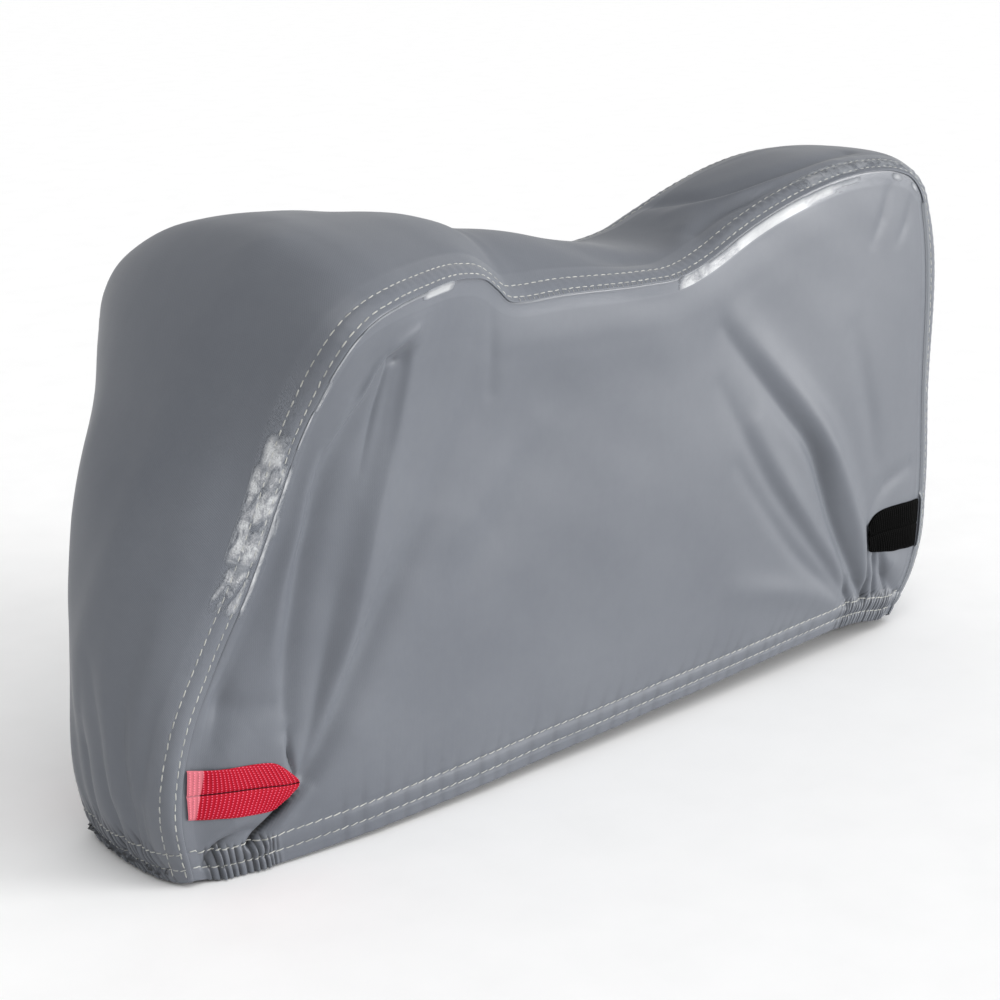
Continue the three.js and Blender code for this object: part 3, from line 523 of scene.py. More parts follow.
RIGHT_FOLDS = [
    [(4, 12, 4), (30, 24), 2, [(745, 870), (778, 740), (790, 600)]],
    [(-4, -9, -4), (20, 16), 1.8, [(730, 860), (748, 640), (770, 440), (778, 260)]],
    [(4, 13, 7), (28, 16), 2, [(640, 880), (640, 600), (700, 330), (745, 180)]],
    [(-3, -12, -8), (40, 16), 2, [(360, 780), (480, 560), (590, 400), (680, 240), (735, 160)]],
    [(-2, -6, -3), (48, 40), 2, [(150, 690), (280, 520), (420, 420)]],
    [(2, 5, 2), (30, 26), 2, [(190, 600), (350, 450), (480, 300)]],
    [(-6, -9, -8), (10, 9), 1.4, [(770, 134), (815, 92), (861, 55)]],
    [(-3, -6, -5), (10, 8), 1.4, [(850, 84), (890, 78), (922, 48)]],
    [(-3, -13, -8), (24, 12), 1.7, [(-270, 760), (-450, 570), (-560, 430), (-650, 270), (-740, 120)]],
    [(3, 10, 5), (28, 20), 2, [(-340, 750), (-510, 580), (-620, 430), (-720, 260)]],
    [(-3, -8, -5), (18, 13), 1.8, [(-240, 600), (-400, 420), (-540, 270), (-680, 120)]],
    [(2, 6, 3), (22, 18), 2, [(-350, 420), (-480, 290), (-640, 150)]],
    [(2, 6, 3), (15, 13), 1.8, [(-780, 330), (-850, 345), (-905, 325)]],
    [(-3, -7, -4), (14, 12), 1.6, [(-771, 188), (-830, 121), (-880, 76)]],
]


def laid_on(grid, rows, columns):
    """Values of a grid at fractional rows and columns, straight between its points both ways."""
    r = np.clip(np.floor(rows).astype(int), 0, grid.shape[0] - 2)
    c = np.clip(np.floor(columns).astype(int), 0, grid.shape[1] - 2)
    a, b = (rows - r)[..., None], (columns - c)[..., None]
    near = grid[r, c] * (1 - b) + grid[r, c + 1] * b
    return near * (1 - a) + (grid[r + 1, c] * (1 - b) + grid[r + 1, c + 1] * b) * a


def centre_at(lengths, distances, side):
    """Points and normals of the centre panel at lengths from the front hem and distances, up to the
    tape's reach, from its left (side 1) or right (side -1) edge."""
    rows = np.interp(lengths, row_lengths, np.arange(len(row_lengths)))
    columns = np.interp(distances, EDGE_LINES, np.arange(len(EDGE_LINES)))
    columns = columns if side > 0 else centre_grid.shape[1] - 1 - columns
    return laid_on(centre_grid, rows, columns), laid_on(centre_normals, rows, columns)


def relaxed(points, faces, share, times):
    """Moves each point towards the mean of its neighbours by its share, a number of times."""
    start = np.concatenate([faces[:, k] for k in range(4)] + [faces[:, (k + 1) % 4] for k in range(4)])
    end = np.concatenate([faces[:, (k + 1) % 4] for k in range(4)] + [faces[:, k] for k in range(4)])
    count = np.maximum(1, np.bincount(start, minlength=len(points)))[:, None]
    for _ in range(times):
        mean = np.stack([np.bincount(start, points[end, axis], len(points)) for axis in range(3)], 1) / count
        points = points + (mean - points) * share[:, None]
    return points


# Lines along the panel, 5.6 mm apart and gradually closer over the gathers, and lines down, close
# together in the hem.
ruler = np.linspace(0, HEM_TOTAL - 2 * BORDER, 4000)
spacing = (5.6 - 3.8 * (1 - smooth_step((ruler - 170) / 110))
           - 4.3 * smooth_step((ruler - HEM_TOTAL + 310) / 110))
lines_passed = np.concatenate([[0], np.cumsum(np.diff(ruler) / spacing[1:])])
hem_marks = np.interp(np.linspace(0, lines_passed[-1], int(lines_passed[-1])), lines_passed, ruler)
lines_along = hem_marks / hem_marks[-1]
lines_down = np.concatenate([[0], np.linspace(0.002, 0.9, 118), 0.9 + np.linspace(0, 0.1, 30)[1:]])
front_corner, rear_corner = SEAM_LENGTHS[FRONT_CORNER_ROW], SEAM_LENGTHS[REAR_CORNER_ROW]
stations = np.concatenate([front_corner * (1 - lines_down[::-1]),
                           front_corner + (rear_corner - front_corner) * lines_along[1:],
                           rear_corner + (SEAM_TOTAL - rear_corner) * lines_down[1:]])
down_count, along_count = len(lines_down), len(lines_along)


def border_direction(side):
    """The way a side panel leaves the seam at each station: square to it, turning to run along the
    hem in the last 110 mm at both feet, and leaning inward by (half width - 185) / 400."""
    step = seam_at(stations + 3) - seam_at(stations - 3)
    square = np.stack([-step[:, 1], step[:, 0]], 1)
    square /= np.linalg.norm(square, axis=1, keepdims=True)
    front = 1 - smooth_step(stations / 110)
    rear = 1 - smooth_step((SEAM_TOTAL - stations) / 110)
    square = square * (1 - front - rear)[:, None]
    square += np.stack([-0.98 * front + rear, -0.17 * front], 1)
    square /= np.linalg.norm(square, axis=1, keepdims=True)
    lean = (seam_at(stations)[:, 2] - 185) / 400
    away = np.stack([square[:, 0], -side * lean, square[:, 1]], 1)
    return away / np.linalg.norm(away, axis=1, keepdims=True)


def side_surface(side, folds, seed):
    """A side panel: the border beside the seam, the lap under the centre panel, and the field inside
    the border, blended from the border's inner line and the hem (a Coons patch), swollen outward by
    32 mm (1 - (2 u - 1)^4) sin(pi v) and relaxed where they meet. Folds, pleats and the sewn rows
    move its points outward."""
    edge, edge_normal = centre_at(stations[:, None], np.zeros((1, 1)), side)
    edge = edge[:, 0] - (CLOTH + AIR) * edge_normal[:, 0]
    border = edge[:, None] + border_direction(side)[:, None] * BORDER_LINES[None, :, None]
    inner = border[:, -1]
    u, v = lines_along[:, None, None], lines_down[None, :, None]
    hem = curve_through(HEM, HEM_LENGTHS, BORDER + (HEM_TOTAL - 2 * BORDER) * lines_along)
    bottom = np.stack([hem[:, 0], side * hem[:, 1], hem[:, 2]], 1)
    bottom += (inner[0] - bottom[0]) * (1 - lines_along[:, None]) ** 6
    bottom += (inner[-1] - bottom[-1]) * lines_along[:, None] ** 6
    top = inner[down_count - 1:down_count + along_count - 1]
    front, rear = inner[:down_count][::-1], inner[down_count + along_count - 2:]
    field = top[:, None] * (1 - v) + bottom[:, None] * v + front[None] * (1 - u) + rear[None] * u
    field -= (top[0] * (1 - u) + top[-1] * u) * (1 - v) + (bottom[0] * (1 - u) + bottom[-1] * u) * v
    field[..., 1:2] += side * FLANK_BULGE * (1 - (2 * u - 1) ** 4) * np.sin(np.pi * v)
    field_indices = np.arange(along_count * down_count).reshape(along_count, down_count)
    line = np.concatenate([field_indices[0, ::-1], field_indices[1:, 0], field_indices[-1, 1:]])
    count = field_indices.size
    ring_lines = np.repeat(BORDER_LINES[None, :-1], len(stations), 0)
    ring_indices = count + np.arange(ring_lines.size).reshape(ring_lines.shape)
    border_indices = np.concatenate([ring_indices, line[:, None]], 1)
    under, under_normal = centre_at(stations[:, None], LAP_LINES[None], side)
    under = under - (CLOTH + AIR) * under_normal
    lap_indices = count + ring_indices.size + np.arange(under[..., 0].size).reshape(len(stations), -1)
    points = np.concatenate([part.reshape(-1, 3) for part in (field, border[:, :-1], under)])
    field_faces = grid_faces(field_indices)
    border_faces = grid_faces(border_indices)
    lap_faces = grid_faces(np.concatenate([lap_indices[:, ::-1], ring_indices[:, :1]], 1))

    # Distance from the seam, and the place along the hem and above it, of each point. Field, ring
    # and lap follow each other.
    no_lap = np.zeros(lap_indices.size)
    from_ends = np.minimum(lines_along, 1 - lines_along)[:, None]
    from_seam = np.minimum(lines_down[None] * FIELD_DOWN, from_ends * FIELD_ALONG)
    distance = np.concatenate([BORDER + from_seam.ravel(), ring_lines.ravel(), no_lap])
    foot = np.minimum(stations, SEAM_TOTAL - stations)
    foot = np.concatenate([np.repeat(foot, ring_lines.shape[1]), np.repeat(foot, len(LAP_LINES))])
    from_hem = np.concatenate([np.tile((1 - lines_down) * FIELD_DOWN, along_count), foot])
    loosen = smooth_step(distance / BORDER) * (1 - smooth_step((distance - BORDER) / 90))
    loosen *= smooth_step(from_hem / 40)
    points = relaxed(points, np.concatenate([field_faces, border_faces]), 0.9 * loosen, 60)
    field = points[:count].reshape(field.shape)
    above = lengths_along(field[:, ::-1])[:, ::-1]
    field_along = np.repeat(BORDER + hem_marks, down_count)
    ring_along = np.where((stations < SEAM_TOTAL / 2)[:, None], ring_lines, HEM_TOTAL - ring_lines)
    all_above = np.concatenate([above.ravel(), foot])
    all_along = np.concatenate([field_along, ring_along.ravel(), no_lap])
    x, z = points[:, 0], points[:, 2]
    relief = fold_relief(folds, x, z) + unevenness(x, z, 1.0, seed)
    relief *= smooth_step((distance - 3) / 38)
    # Painted shade: only folds under 8 mm wide are painted dark at the bottom, from 6 mm deep.
    sharp = -fold_relief([fold for fold in folds if max(fold[1]) < 8], x, z)
    valley = 0.97 * smooth_step((sharp - 6) / 9)
    # The tight gathers at the front, the slack of the hem between, the tight gathers at the rear.
    rear_zone = HEM_TOTAL - np.array([250, 170, 30, 6])
    for zone, pitch, depth, longest in [((24, 44, 132, 172), 12, 12, 8),
                                        ((215, 300, 1500, 1700), 46, 1.4, 62),
                                        (rear_zone, 9.5, 7.5, 16)]:
        lifted, between = pleats(all_along, all_above, zone, pitch, depth, longest, seed + int(pitch))
        relief += lifted * smooth_step((distance - 3) / 24)
        # The bottoms of the pleats are painted in shade too.
        valley = np.maximum(valley, 0.9 * between)
    # Painted shade in the gap under the centre panel's folded edge, open beside the handlebar.
    gap = np.interp(stations, [300, 420, 900, 1100, 2700, 2800], [0.2, 0.9, 0.9, 0.2, 0.2, 0])
    valley[border_indices[:, :2]] = gap[:, None] * [1, 0.6]
    relief += sewn_rows(all_above, HEM_ROW_HEIGHTS, all_along) * (distance > 0)
    points[:, 1] += side * relief
    outward = np.zeros_like(points)
    outward[:, 1] = side
    outward[lap_indices] = under_normal
    faces = np.concatenate([facing(group, points, outward)
                            for group in (field_faces, border_faces, lap_faces)])
    surface = {"points": points, "faces": faces, "normals": point_normals(points, faces),
               "uv": points[:, [0, 2]] / 1000, "side": side, "valley": valley}
    surface["taped"] = smooth_step((BORDER + 1.5 - distance) / 1.5)
    for part, indices in (("border", border_indices), ("field", field_indices)):
        surface[part], surface[f"{part}_normals"] = points[indices], surface["normals"][indices]
    surface["above"] = above
    hem_line = np.concatenate([ring_indices[0], field_indices[:, -1], ring_indices[-1, ::-1]])
    hem_inner = np.concatenate([ring_indices[1], field_indices[:, -2], ring_indices[-2, ::-1]])
    turned_edge(surface, hem_line, hem_inner, 1.6, 26)
    return surface


left = side_surface(1, LEFT_FOLDS, 21)
right = side_surface(-1, RIGHT_FOLDS, 41)
for name, surface in (("left", left), ("right", right)):
    panel = make_piece(f"side_panel_cloth_{name}", surface["points"], surface["faces"], cloth,
                       surface["uv"], {mark: surface[mark] for mark in CLOTH_MARKS})
    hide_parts(f"side_panel_{name}")

# Stitching. Light grey polyester thread, a long lock stitch: two rows through the lap beside each
# fold and two rows round the whole hem. Beside the seat short slanting stitches catch the fold.

THREAD_WIDE, THREAD_HIGH = 2.3, 1.5  # mm, pressed flat by the needle hole


def stitch_row(line, normals, pitch, share, lift, slant, seed):
    """Stitches along a line on the cloth: thread tubes of six sides, the share of the pitch long, that
    rise by lift sin(pi t)^0.6 between their two holes, each askew by about the slant. Returns points
    and faces."""
    chance = np.random.default_rng(seed)
    lengths = lengths_along(line)
    starts = np.arange(0.3 * pitch, lengths[-1] - pitch, pitch)
    starts = starts + chance.uniform(-0.06, 0.06, len(starts)) * pitch
    t = np.linspace(0, 1, 8)
    at = starts[:, None] + pitch * share * t
    middle, normal = (np.stack([np.interp(at, lengths, values[:, axis]) for axis in range(3)], -1)
                      for values in (line, normals))
    normal /= np.linalg.norm(normal, axis=-1, keepdims=True)
    ahead = np.gradient(middle, axis=1)
    ahead /= np.linalg.norm(ahead, axis=-1, keepdims=True)
    across = np.cross(normal, ahead)
    skew = chance.normal(slant, 0.35, len(starts))[:, None, None] * (t - 0.5)[None, :, None] * 2
    middle = middle + across * skew + normal * (lift * np.sin(np.pi * t) ** 0.6 - 0.5)[None, :, None]
    thick = np.array([0.45, 0.9, 1, 1, 1, 1, 0.9, 0.45])[None, :, None, None]
    turn = np.arange(6) * np.pi / 3
    ring = (across[:, :, None] * (0.5 * THREAD_WIDE * np.cos(turn))[:, None]
            + normal[:, :, None] * (0.5 * THREAD_HIGH * np.sin(turn))[:, None]) * thick
    points = (middle[:, :, None] + ring).reshape(-1, 3)
    index = np.arange(len(points)).reshape(len(starts), 8, 6)
    following = np.roll(index, -1, axis=2)
    walls = np.stack([index[:, :-1], following[:, :-1], following[:, 1:], index[:, 1:]], -1).reshape(-1, 4)
    ends = np.concatenate([index[:, 0, [5, 4, 1, 0]], index[:, 0, [4, 3, 2, 1]],
                           index[:, -1, [0, 1, 4, 5]], index[:, -1, [1, 2, 3, 4]]])
    return points, np.concatenate([walls, ends])


def hem_line(surface, height):
    """The line round a side panel's hem at a height above it, with its normals."""
    at = np.full((along_count, 1), float(height))
    rising = surface["above"][:, ::-1]
    rows = np.interp([height, SEAM_TOTAL - height], stations, np.arange(len(stations)))[:, None]
    columns = np.arange(len(BORDER_LINES) - 1.0)[None]
    parts = []
    for kind in ("", "_normals"):
        grid = surface["field" + kind][:, ::-1]
        line = np.stack([along_rows(at, rising, grid[..., axis])[:, 0] for axis in range(3)], -1)
        border = laid_on(surface["border" + kind], rows + 0 * columns, columns + 0 * rows)
        parts.append(np.concatenate([border[0], line, border[1, ::-1]]))
    return parts


# Rows beside the seams: start, end, points, distance from the fold, pitch, share, lift, slant, seed
SEAM_ROWS = [[4, SEAM_TOTAL - 4, 1500, distance, STITCH, 0.76, 0.9, 0.2, 60 + int(distance)]
             for distance in SEAM_ROW_DISTANCES] + [[1480, 1965, 300, 4.0, 0.7 * STITCH, 0.14, 0.8, 3.2, 70]]
rows = []
for side in (1, -1):
    for start, end, count, distance, *looks, seed in SEAM_ROWS:
        line, normal = centre_at(np.linspace(start, end, count)[:, None], np.full((1, 1), distance), side)
        rows.append(stitch_row(line[:, 0], normal[:, 0], *looks, seed + side))
for surface in (left, right):
    for height in HEM_ROW_HEIGHTS:
        rows.append(stitch_row(*hem_line(surface, height), STITCH, 0.92, 1.0, 1.1, 80 + int(height)))
columns = np.linspace(2, centre_grid.shape[1] - 3, 400)
for height in HEM_ROW_HEIGHTS:
    for length in (height, SEAM_TOTAL - height):
        at = np.full(400, np.interp(length, row_lengths, np.arange(len(row_lengths))))
        line, normal = (laid_on(grid, at, columns) for grid in (centre_grid, centre_normals))
        rows.append(stitch_row(line, normal, STITCH * 0.7, 0.92, 1.0, 1.3, 90))


def polyester_thread():
    """Spun polyester sewing thread: twisted, slightly hairy, with a soft sheen along the twist."""
    material, tree = new_material("polyester_thread_twisted")
    place = add(tree, "TexCoord").outputs["Object"]
    # The twist is 1.1 mm long, about as fine as it can be drawn.
    noise = add(tree, "TexNoise", {"Vector": place, "Scale": 900.0, "Detail": 2.0})
    tone = add(tree, "TexNoise", {"Vector": place, "Scale": 45.0, "Detail": 2.0})
    colour = coloured(tree, tone.outputs["Fac"], [(0.35, "#92938f"), (0.65, "#b9b9b3")])
    bump = add(tree, "Bump", {"Strength": 0.4, "Distance": 0.0004, "Height": noise.outputs["Fac"]})
    shader = add(tree, "BsdfPrincipled", {
        "Base Color": colour, "Roughness": 0.55, "Sheen Weight": 0.3, "Sheen Roughness": 0.4,
        "Normal": bump})
    add(tree, "OutputMaterial", {"Surface": shader})
    return material


counts = np.cumsum([0] + [len(points) for points, faces in rows])
make_piece("seam_and_hem_stitches", np.concatenate([points for points, faces in rows]),
           np.concatenate([faces + first for first, (points, faces) in zip(counts, rows)]),
           polyester_thread())

# Seam tape. A clear polyurethane strip about 90 mm wide, ironed over the whole of both seams to keep water
# out: hardly seen where it sticks, silvery and crackled where it has come loose, with a painted highlight in
# its silver. The bonded film is wholly clear, and what it does to the cloth's look is in the cloth's
# material.

# Lines along the tape: distances from the fold on the centre panel, and from the seam on the side
TOP_LINES = np.array([62, 60, 56, 51, 46, 41, 38, 36, 34, 30, 25, 20, 15.5, 12.5, 10.5, 8.5, 5.5, 2.5, 0.0])
SIDE_LINES = np.array([1.5, 4, 7, 11.5, 16, 21, 26.0])
# Loose patches of the tape, whose silver is partly a painted highlight: start and end along the seam, start
# and end across it (minus is on the centre panel), how silvery, how flaky (0 is smooth)
LEFT_PATCHES = [
    [470, 560, -58, -4, 0.36, 1], [560, 745, -60, -3, 0.6, 1], [735, 800, -52, -14, 0.7, 1],
    [560, 745, -65, -61, 0.8, 0], [470, 740, 1, 13, 0.62, 0.8], [605, 650, 11, 23, 0.6, 0.6],
    [770, 845, 3, 10, 0.85, 0.6], [845, 905, 9, 20, 0.95, 0.8], [905, 1000, 2, 10, 0.95, 0.5],
    [1000, 1190, 1, 6, 0.8, 0.4], [1170, 1265, 0, 14, 1.1, 0.3], [735, 785, -50, -18, 1.0, 0.3],
    [1915, 2010, 1, 29, 0.85, 0.7], [2000, 2110, 3, 29, 0.7, 0.4], [2090, 2320, 3, 29, 0.95, 0.1],
    [2290, 2400, 4, 23, 0.8, 0.2], [2380, 2480, 5, 16, 0.6, 0.3], [2590, 2620, 3, 16, 1, 0.3],
    [2665, 2690, 4, 15, 1, 0.3],
]
RIGHT_PATCHES = [[640, 900, -60, 20, 0.5, 1], [2000, 2400, 2, 27, 0.6, 0.5]]
# The last patch lightens the film over the shaded step beside the rear legs' fold, painted light over that
# shade.
BOTH_PATCHES = [[2060, 2600, -2, 0, 0.6, 0.2], [2300, 2700, -44, -4, 0.3, 0.4], [2720, 3640, -7, 8, 0.36, 0]]
LOOP_ENDS = [(118, 216), (3378, 3492)]  # where along the seam the tape climbs over a loop's ends


def tape_surface(surface, patches):
    """A tape: rows of points on the centre panel, over its fold and on the side panel's border, lifted
    by a little air, by the loops' ends, and where it is loose by a low crackle, the mean of five
    |sin(length / a + across / b + c)|."""
    side = surface["side"]
    top, top_normal = centre_at(stations[:, None], TOP_LINES[None], side)
    outward = top[:, -1:] - top[:, -3:-2]
    outward /= np.linalg.norm(outward, axis=-1, keepdims=True)
    top[:, -1:] += outward * 0.8
    columns = np.interp(SIDE_LINES, BORDER_LINES, np.arange(len(BORDER_LINES))) + np.zeros((len(stations), 1))
    row = np.arange(len(stations))[:, None] + 0 * columns
    over, over_normal = (laid_on(surface[grid], row, columns) for grid in ("border", "border_normals"))
    climb = sum(smooth_step((stations - start + 8) / 14) * smooth_step((end + 8 - stations) / 14)
                for start, end in LOOP_ENDS)
    over = over + over_normal * (6.2 * climb[:, None] * smooth_step(SIDE_LINES / 5)
                                 + 2.2 * np.exp(-(SIDE_LINES / 4.5) ** 2))[..., None]
    across = np.concatenate([-TOP_LINES, SIDE_LINES])[None] + np.zeros((len(stations), 1))
    length = stations[:, None] + np.zeros_like(across)
    loose, flaky = np.zeros_like(across), np.zeros_like(across)
    for start, end, low, high, amount, flakes in patches + BOTH_PATCHES:
        soft = smooth_step((length - start + 14) / 34) * smooth_step((end + 14 - length) / 34)
        soft = soft * smooth_step((across - low + 3) / 7) * smooth_step((high + 3 - across) / 7)
        loose = np.maximum(loose, amount * soft)
        flaky = np.maximum(flaky, flakes * soft)
    chance = np.random.default_rng(5)
    crackle = sum(np.abs(np.sin(length / a + across / b + c)) for a, b, c in
                  zip(chance.uniform(3, 9, 5), chance.uniform(-7, 7, 5), chance.uniform(0, 6, 5))) / 5 - 0.6
    lift = AIR + 0.9 * crackle * flaky
    normals = np.concatenate([top_normal, over_normal], 1)
    points = (np.concatenate([top, over], 1) + normals * lift[..., None]).reshape(-1, 3)
    index = np.arange(across.size).reshape(across.shape)
    faces = facing(grid_faces(index), points, normals.reshape(-1, 3))
    uv = np.stack([length, across], -1).reshape(-1, 2) / 1000
    return points, faces, uv, {"loose": loose.ravel(), "flaky": flaky.ravel()}


def clear_tape():
    """Extruded clear polyurethane film: glossy and almost unseen where it is bonded, and where it has lifted
    a silvery crackle of small flakes, the silver partly a painted highlight."""
    material, tree = new_material("polyurethane_film_clear")
    pattern = add(tree, "UVMap", uv_map="pattern").outputs["UV"]
    loose, flaky = (add(tree, "Attribute", attribute_name=mark).outputs["Fac"]
                    for mark in ("loose", "flaky"))
    # Patches about 30 mm across, longer along the tape, flakes and cracks about 5 mm apart.
    stretched = add(tree, "Mapping", {"Vector": pattern, "Scale": (0.7, 1.3, 1.0)})
    patch = add(tree, "TexNoise", {"Vector": stretched, "Scale": 32.0, "Detail": 4.0,
                                   "Roughness": 0.62, "Distortion": 0.9})
    flake = add(tree, "TexNoise", {"Vector": pattern, "Scale": 190.0, "Detail": 5.0,
                                   "Roughness": 0.7, "Distortion": 1.0})
    crack = add(tree, "TexVoronoi", {"Vector": pattern, "Scale": 170.0, "Randomness": 1.0},
                feature="DISTANCE_TO_EDGE")
    # The silver, partly the lifted film's own look and partly a painted highlight, is the looseness, and
    # where the film is flaky 3.6 (patch - 1/2) + (flake - 1/2) more.
    both = add(tree, "Math", {0: patch.outputs["Fac"], 1: 3.6, 2: -2.3}, operation="MULTIPLY_ADD")
    both = add(tree, "Math", {0: flake.outputs["Fac"], 1: 1.0, 2: both}, operation="MULTIPLY_ADD")
    broken = add(tree, "Math", {0: both, 1: flaky, 2: loose}, operation="MULTIPLY_ADD", use_clamp=True)
    start = add(tree, "MapRange", {"Value": loose, "From Min": 0.02, "From Max": 0.3})
    silver_and_highlight = add(tree, "Math", {0: broken, 1: start}, operation="MULTIPLY")
    # Where the film only begins to show it has the cloth's brightness, so its rim is not seen.
    colour = coloured(tree, silver_and_highlight, [(0.0, "#757980"), (0.35, "#7e8288"), (0.65, "#9c9ea2"),
                                     (1.0, "#c4c6c8")])
    alpha = add(tree, "MapRange", {"Value": silver_and_highlight, "From Min": 0.05, "From Max": 0.32, "To Max": 0.78})
    relief = add(tree, "Math", {0: crack.outputs["Distance"], 1: 2.2, 2: flake.outputs["Fac"]},
                 operation="MULTIPLY_ADD")
    amount = add(tree, "Math", {0: flaky, 1: 0.75}, operation="MULTIPLY")
    bump = add(tree, "Bump", {"Strength": amount, "Distance": 0.0012, "Height": relief})
    shader = add(tree, "BsdfPrincipled", {
        "Base Color": colour, "Roughness": 0.28, "IOR": 1.5, "Alpha": alpha, "Normal": bump})
    add(tree, "OutputMaterial", {"Surface": shader})
    return material


film = clear_tape()
for name, surface, patches in (("left", left, LEFT_PATCHES), ("right", right, RIGHT_PATCHES)):
    points, faces, uv, marks = tape_surface(surface, patches)
    tape = make_piece(f"seam_tape_film_{name}", points, faces, film, uv, marks)
    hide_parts(f"seam_tape_{name}")

# Webbing loops. Coarse ribbed polyester webbing 43 mm wide, folded back to a point so that a hook
# or rope can pull on it, with both ends sewn into the seam under the tape: red at the front, black at
# the rear.

RIB, BEAD = 7.6, 4.4  # pitch of the ribs across the band and of the thread loops along a rib, mm
LONG, WIDE = 240, 73  # lines along and across a band
# Upper edge, slit and lower edge of each loop from the seam to the folded point: x and z
FRONT_LOOP = [
    [(956, 209), (920, 203), (880, 199), (840, 195), (812, 190), (796, 182), (776, 164), (760, 147)],
    [(959, 163), (920, 160), (868, 155), (820, 149), (790, 144), (775, 142), (764, 141), (757, 141)],
    [(958, 121), (930, 116), (884, 110), (840, 105), (814, 103), (800, 108), (778, 121), (760, 135)],
]
REAR_LOOP = [
    [(-954, 268), (-920, 270), (-880, 274), (-840, 277), (-806, 277), (-780, 271), (-762, 259), (-750, 240)],
    [(-954, 213), (-920, 217), (-886, 220), (-850, 224), (-815, 227), (-790, 228), (-765, 228), (-748, 229)],
    [(-950, 160), (-920, 163), (-891, 168), (-860, 172), (-830, 178), (-800, 184), (-772, 192), (-752, 215)],
]


def loop_surface(surface, outline):
    """A folded band: lines blended from its upper edge, slit and lower edge, lying on the highest cloth
    near each place. Ribs (1 - cos)^2 run across it with a bead for each thread loop; its edges, slit
    and point curl down to the cloth."""
    side = surface["side"]
    t, s = np.linspace(0, 1, LONG), np.linspace(-1, 1, WIDE)
    upper, slit, lower = (smooth_path(path, LONG) for path in outline)
    up, down = np.maximum(s, 0)[None, :, None], np.maximum(-s, 0)[None, :, None]
    flat = slit[:, None] + (upper - slit)[:, None] * up + (lower - slit)[:, None] * down
    coarse = flat[::12, ::8]
    cloth_points = np.concatenate([surface[grid].reshape(-1, 3) for grid in ("field", "border")])
    low, high = flat.min((0, 1)) - 20, flat.max((0, 1)) + 20
    near = np.all((cloth_points[:, [0, 2]] > low) & (cloth_points[:, [0, 2]] < high), axis=1)
    cloth_points = cloth_points[near]
    gap = np.linalg.norm(coarse.reshape(-1, 1, 2) - cloth_points[None, :, [0, 2]], axis=-1)
    heights = np.max(np.where(gap < 13, side * cloth_points[None, :, 1], -1e9), axis=1)
    heights = heights.reshape(coarse.shape[:2])
    rows_at = np.linspace(0, coarse.shape[0] - 1, LONG)[:, None] + np.zeros((1, WIDE))
    columns_at = np.linspace(0, coarse.shape[1] - 1, WIDE)[None] + np.zeros((LONG, 1))
    y = laid_on(heights[..., None], rows_at, columns_at)[..., 0]
    length = lengths_along(slit)[:, None]
    half = sum(np.linalg.norm(line - slit, axis=1)[:, None] * part[..., 0]
               for line, part in ((upper, up), (lower, down)))
    across = np.where(s[None] >= 0, half, -half)
    rib = (0.5 - 0.5 * np.cos(TURN * length / RIB)) ** 2
    bead = 0.5 - 0.5 * np.cos(TURN * across / BEAD)
    edge = np.minimum(np.abs(s), 1 - np.abs(s))[None] * 45
    curl = 1 - np.exp(-np.minimum(edge, (1 - t)[:, None] * 160) / 2.2)
    crown = 1.8 * smooth_step(length / 60) * np.sin(np.pi * np.clip(np.abs(s), 0, 1))[None]
    y = y + 0.3 + curl * (2.5 + 0.6 * rib + 0.5 * rib * bead + crown)
    points = np.stack([flat[..., 0], side * y, flat[..., 1]], -1).reshape(-1, 3)
    index = np.arange(LONG * WIDE).reshape(LONG, WIDE)
    outward = np.zeros_like(points)
    outward[:, 1] = side
    faces = facing(grid_faces(index), points, outward)
    uv = np.stack([length + 0 * across, across], -1).reshape(-1, 2) / 1000
    return points, faces, uv


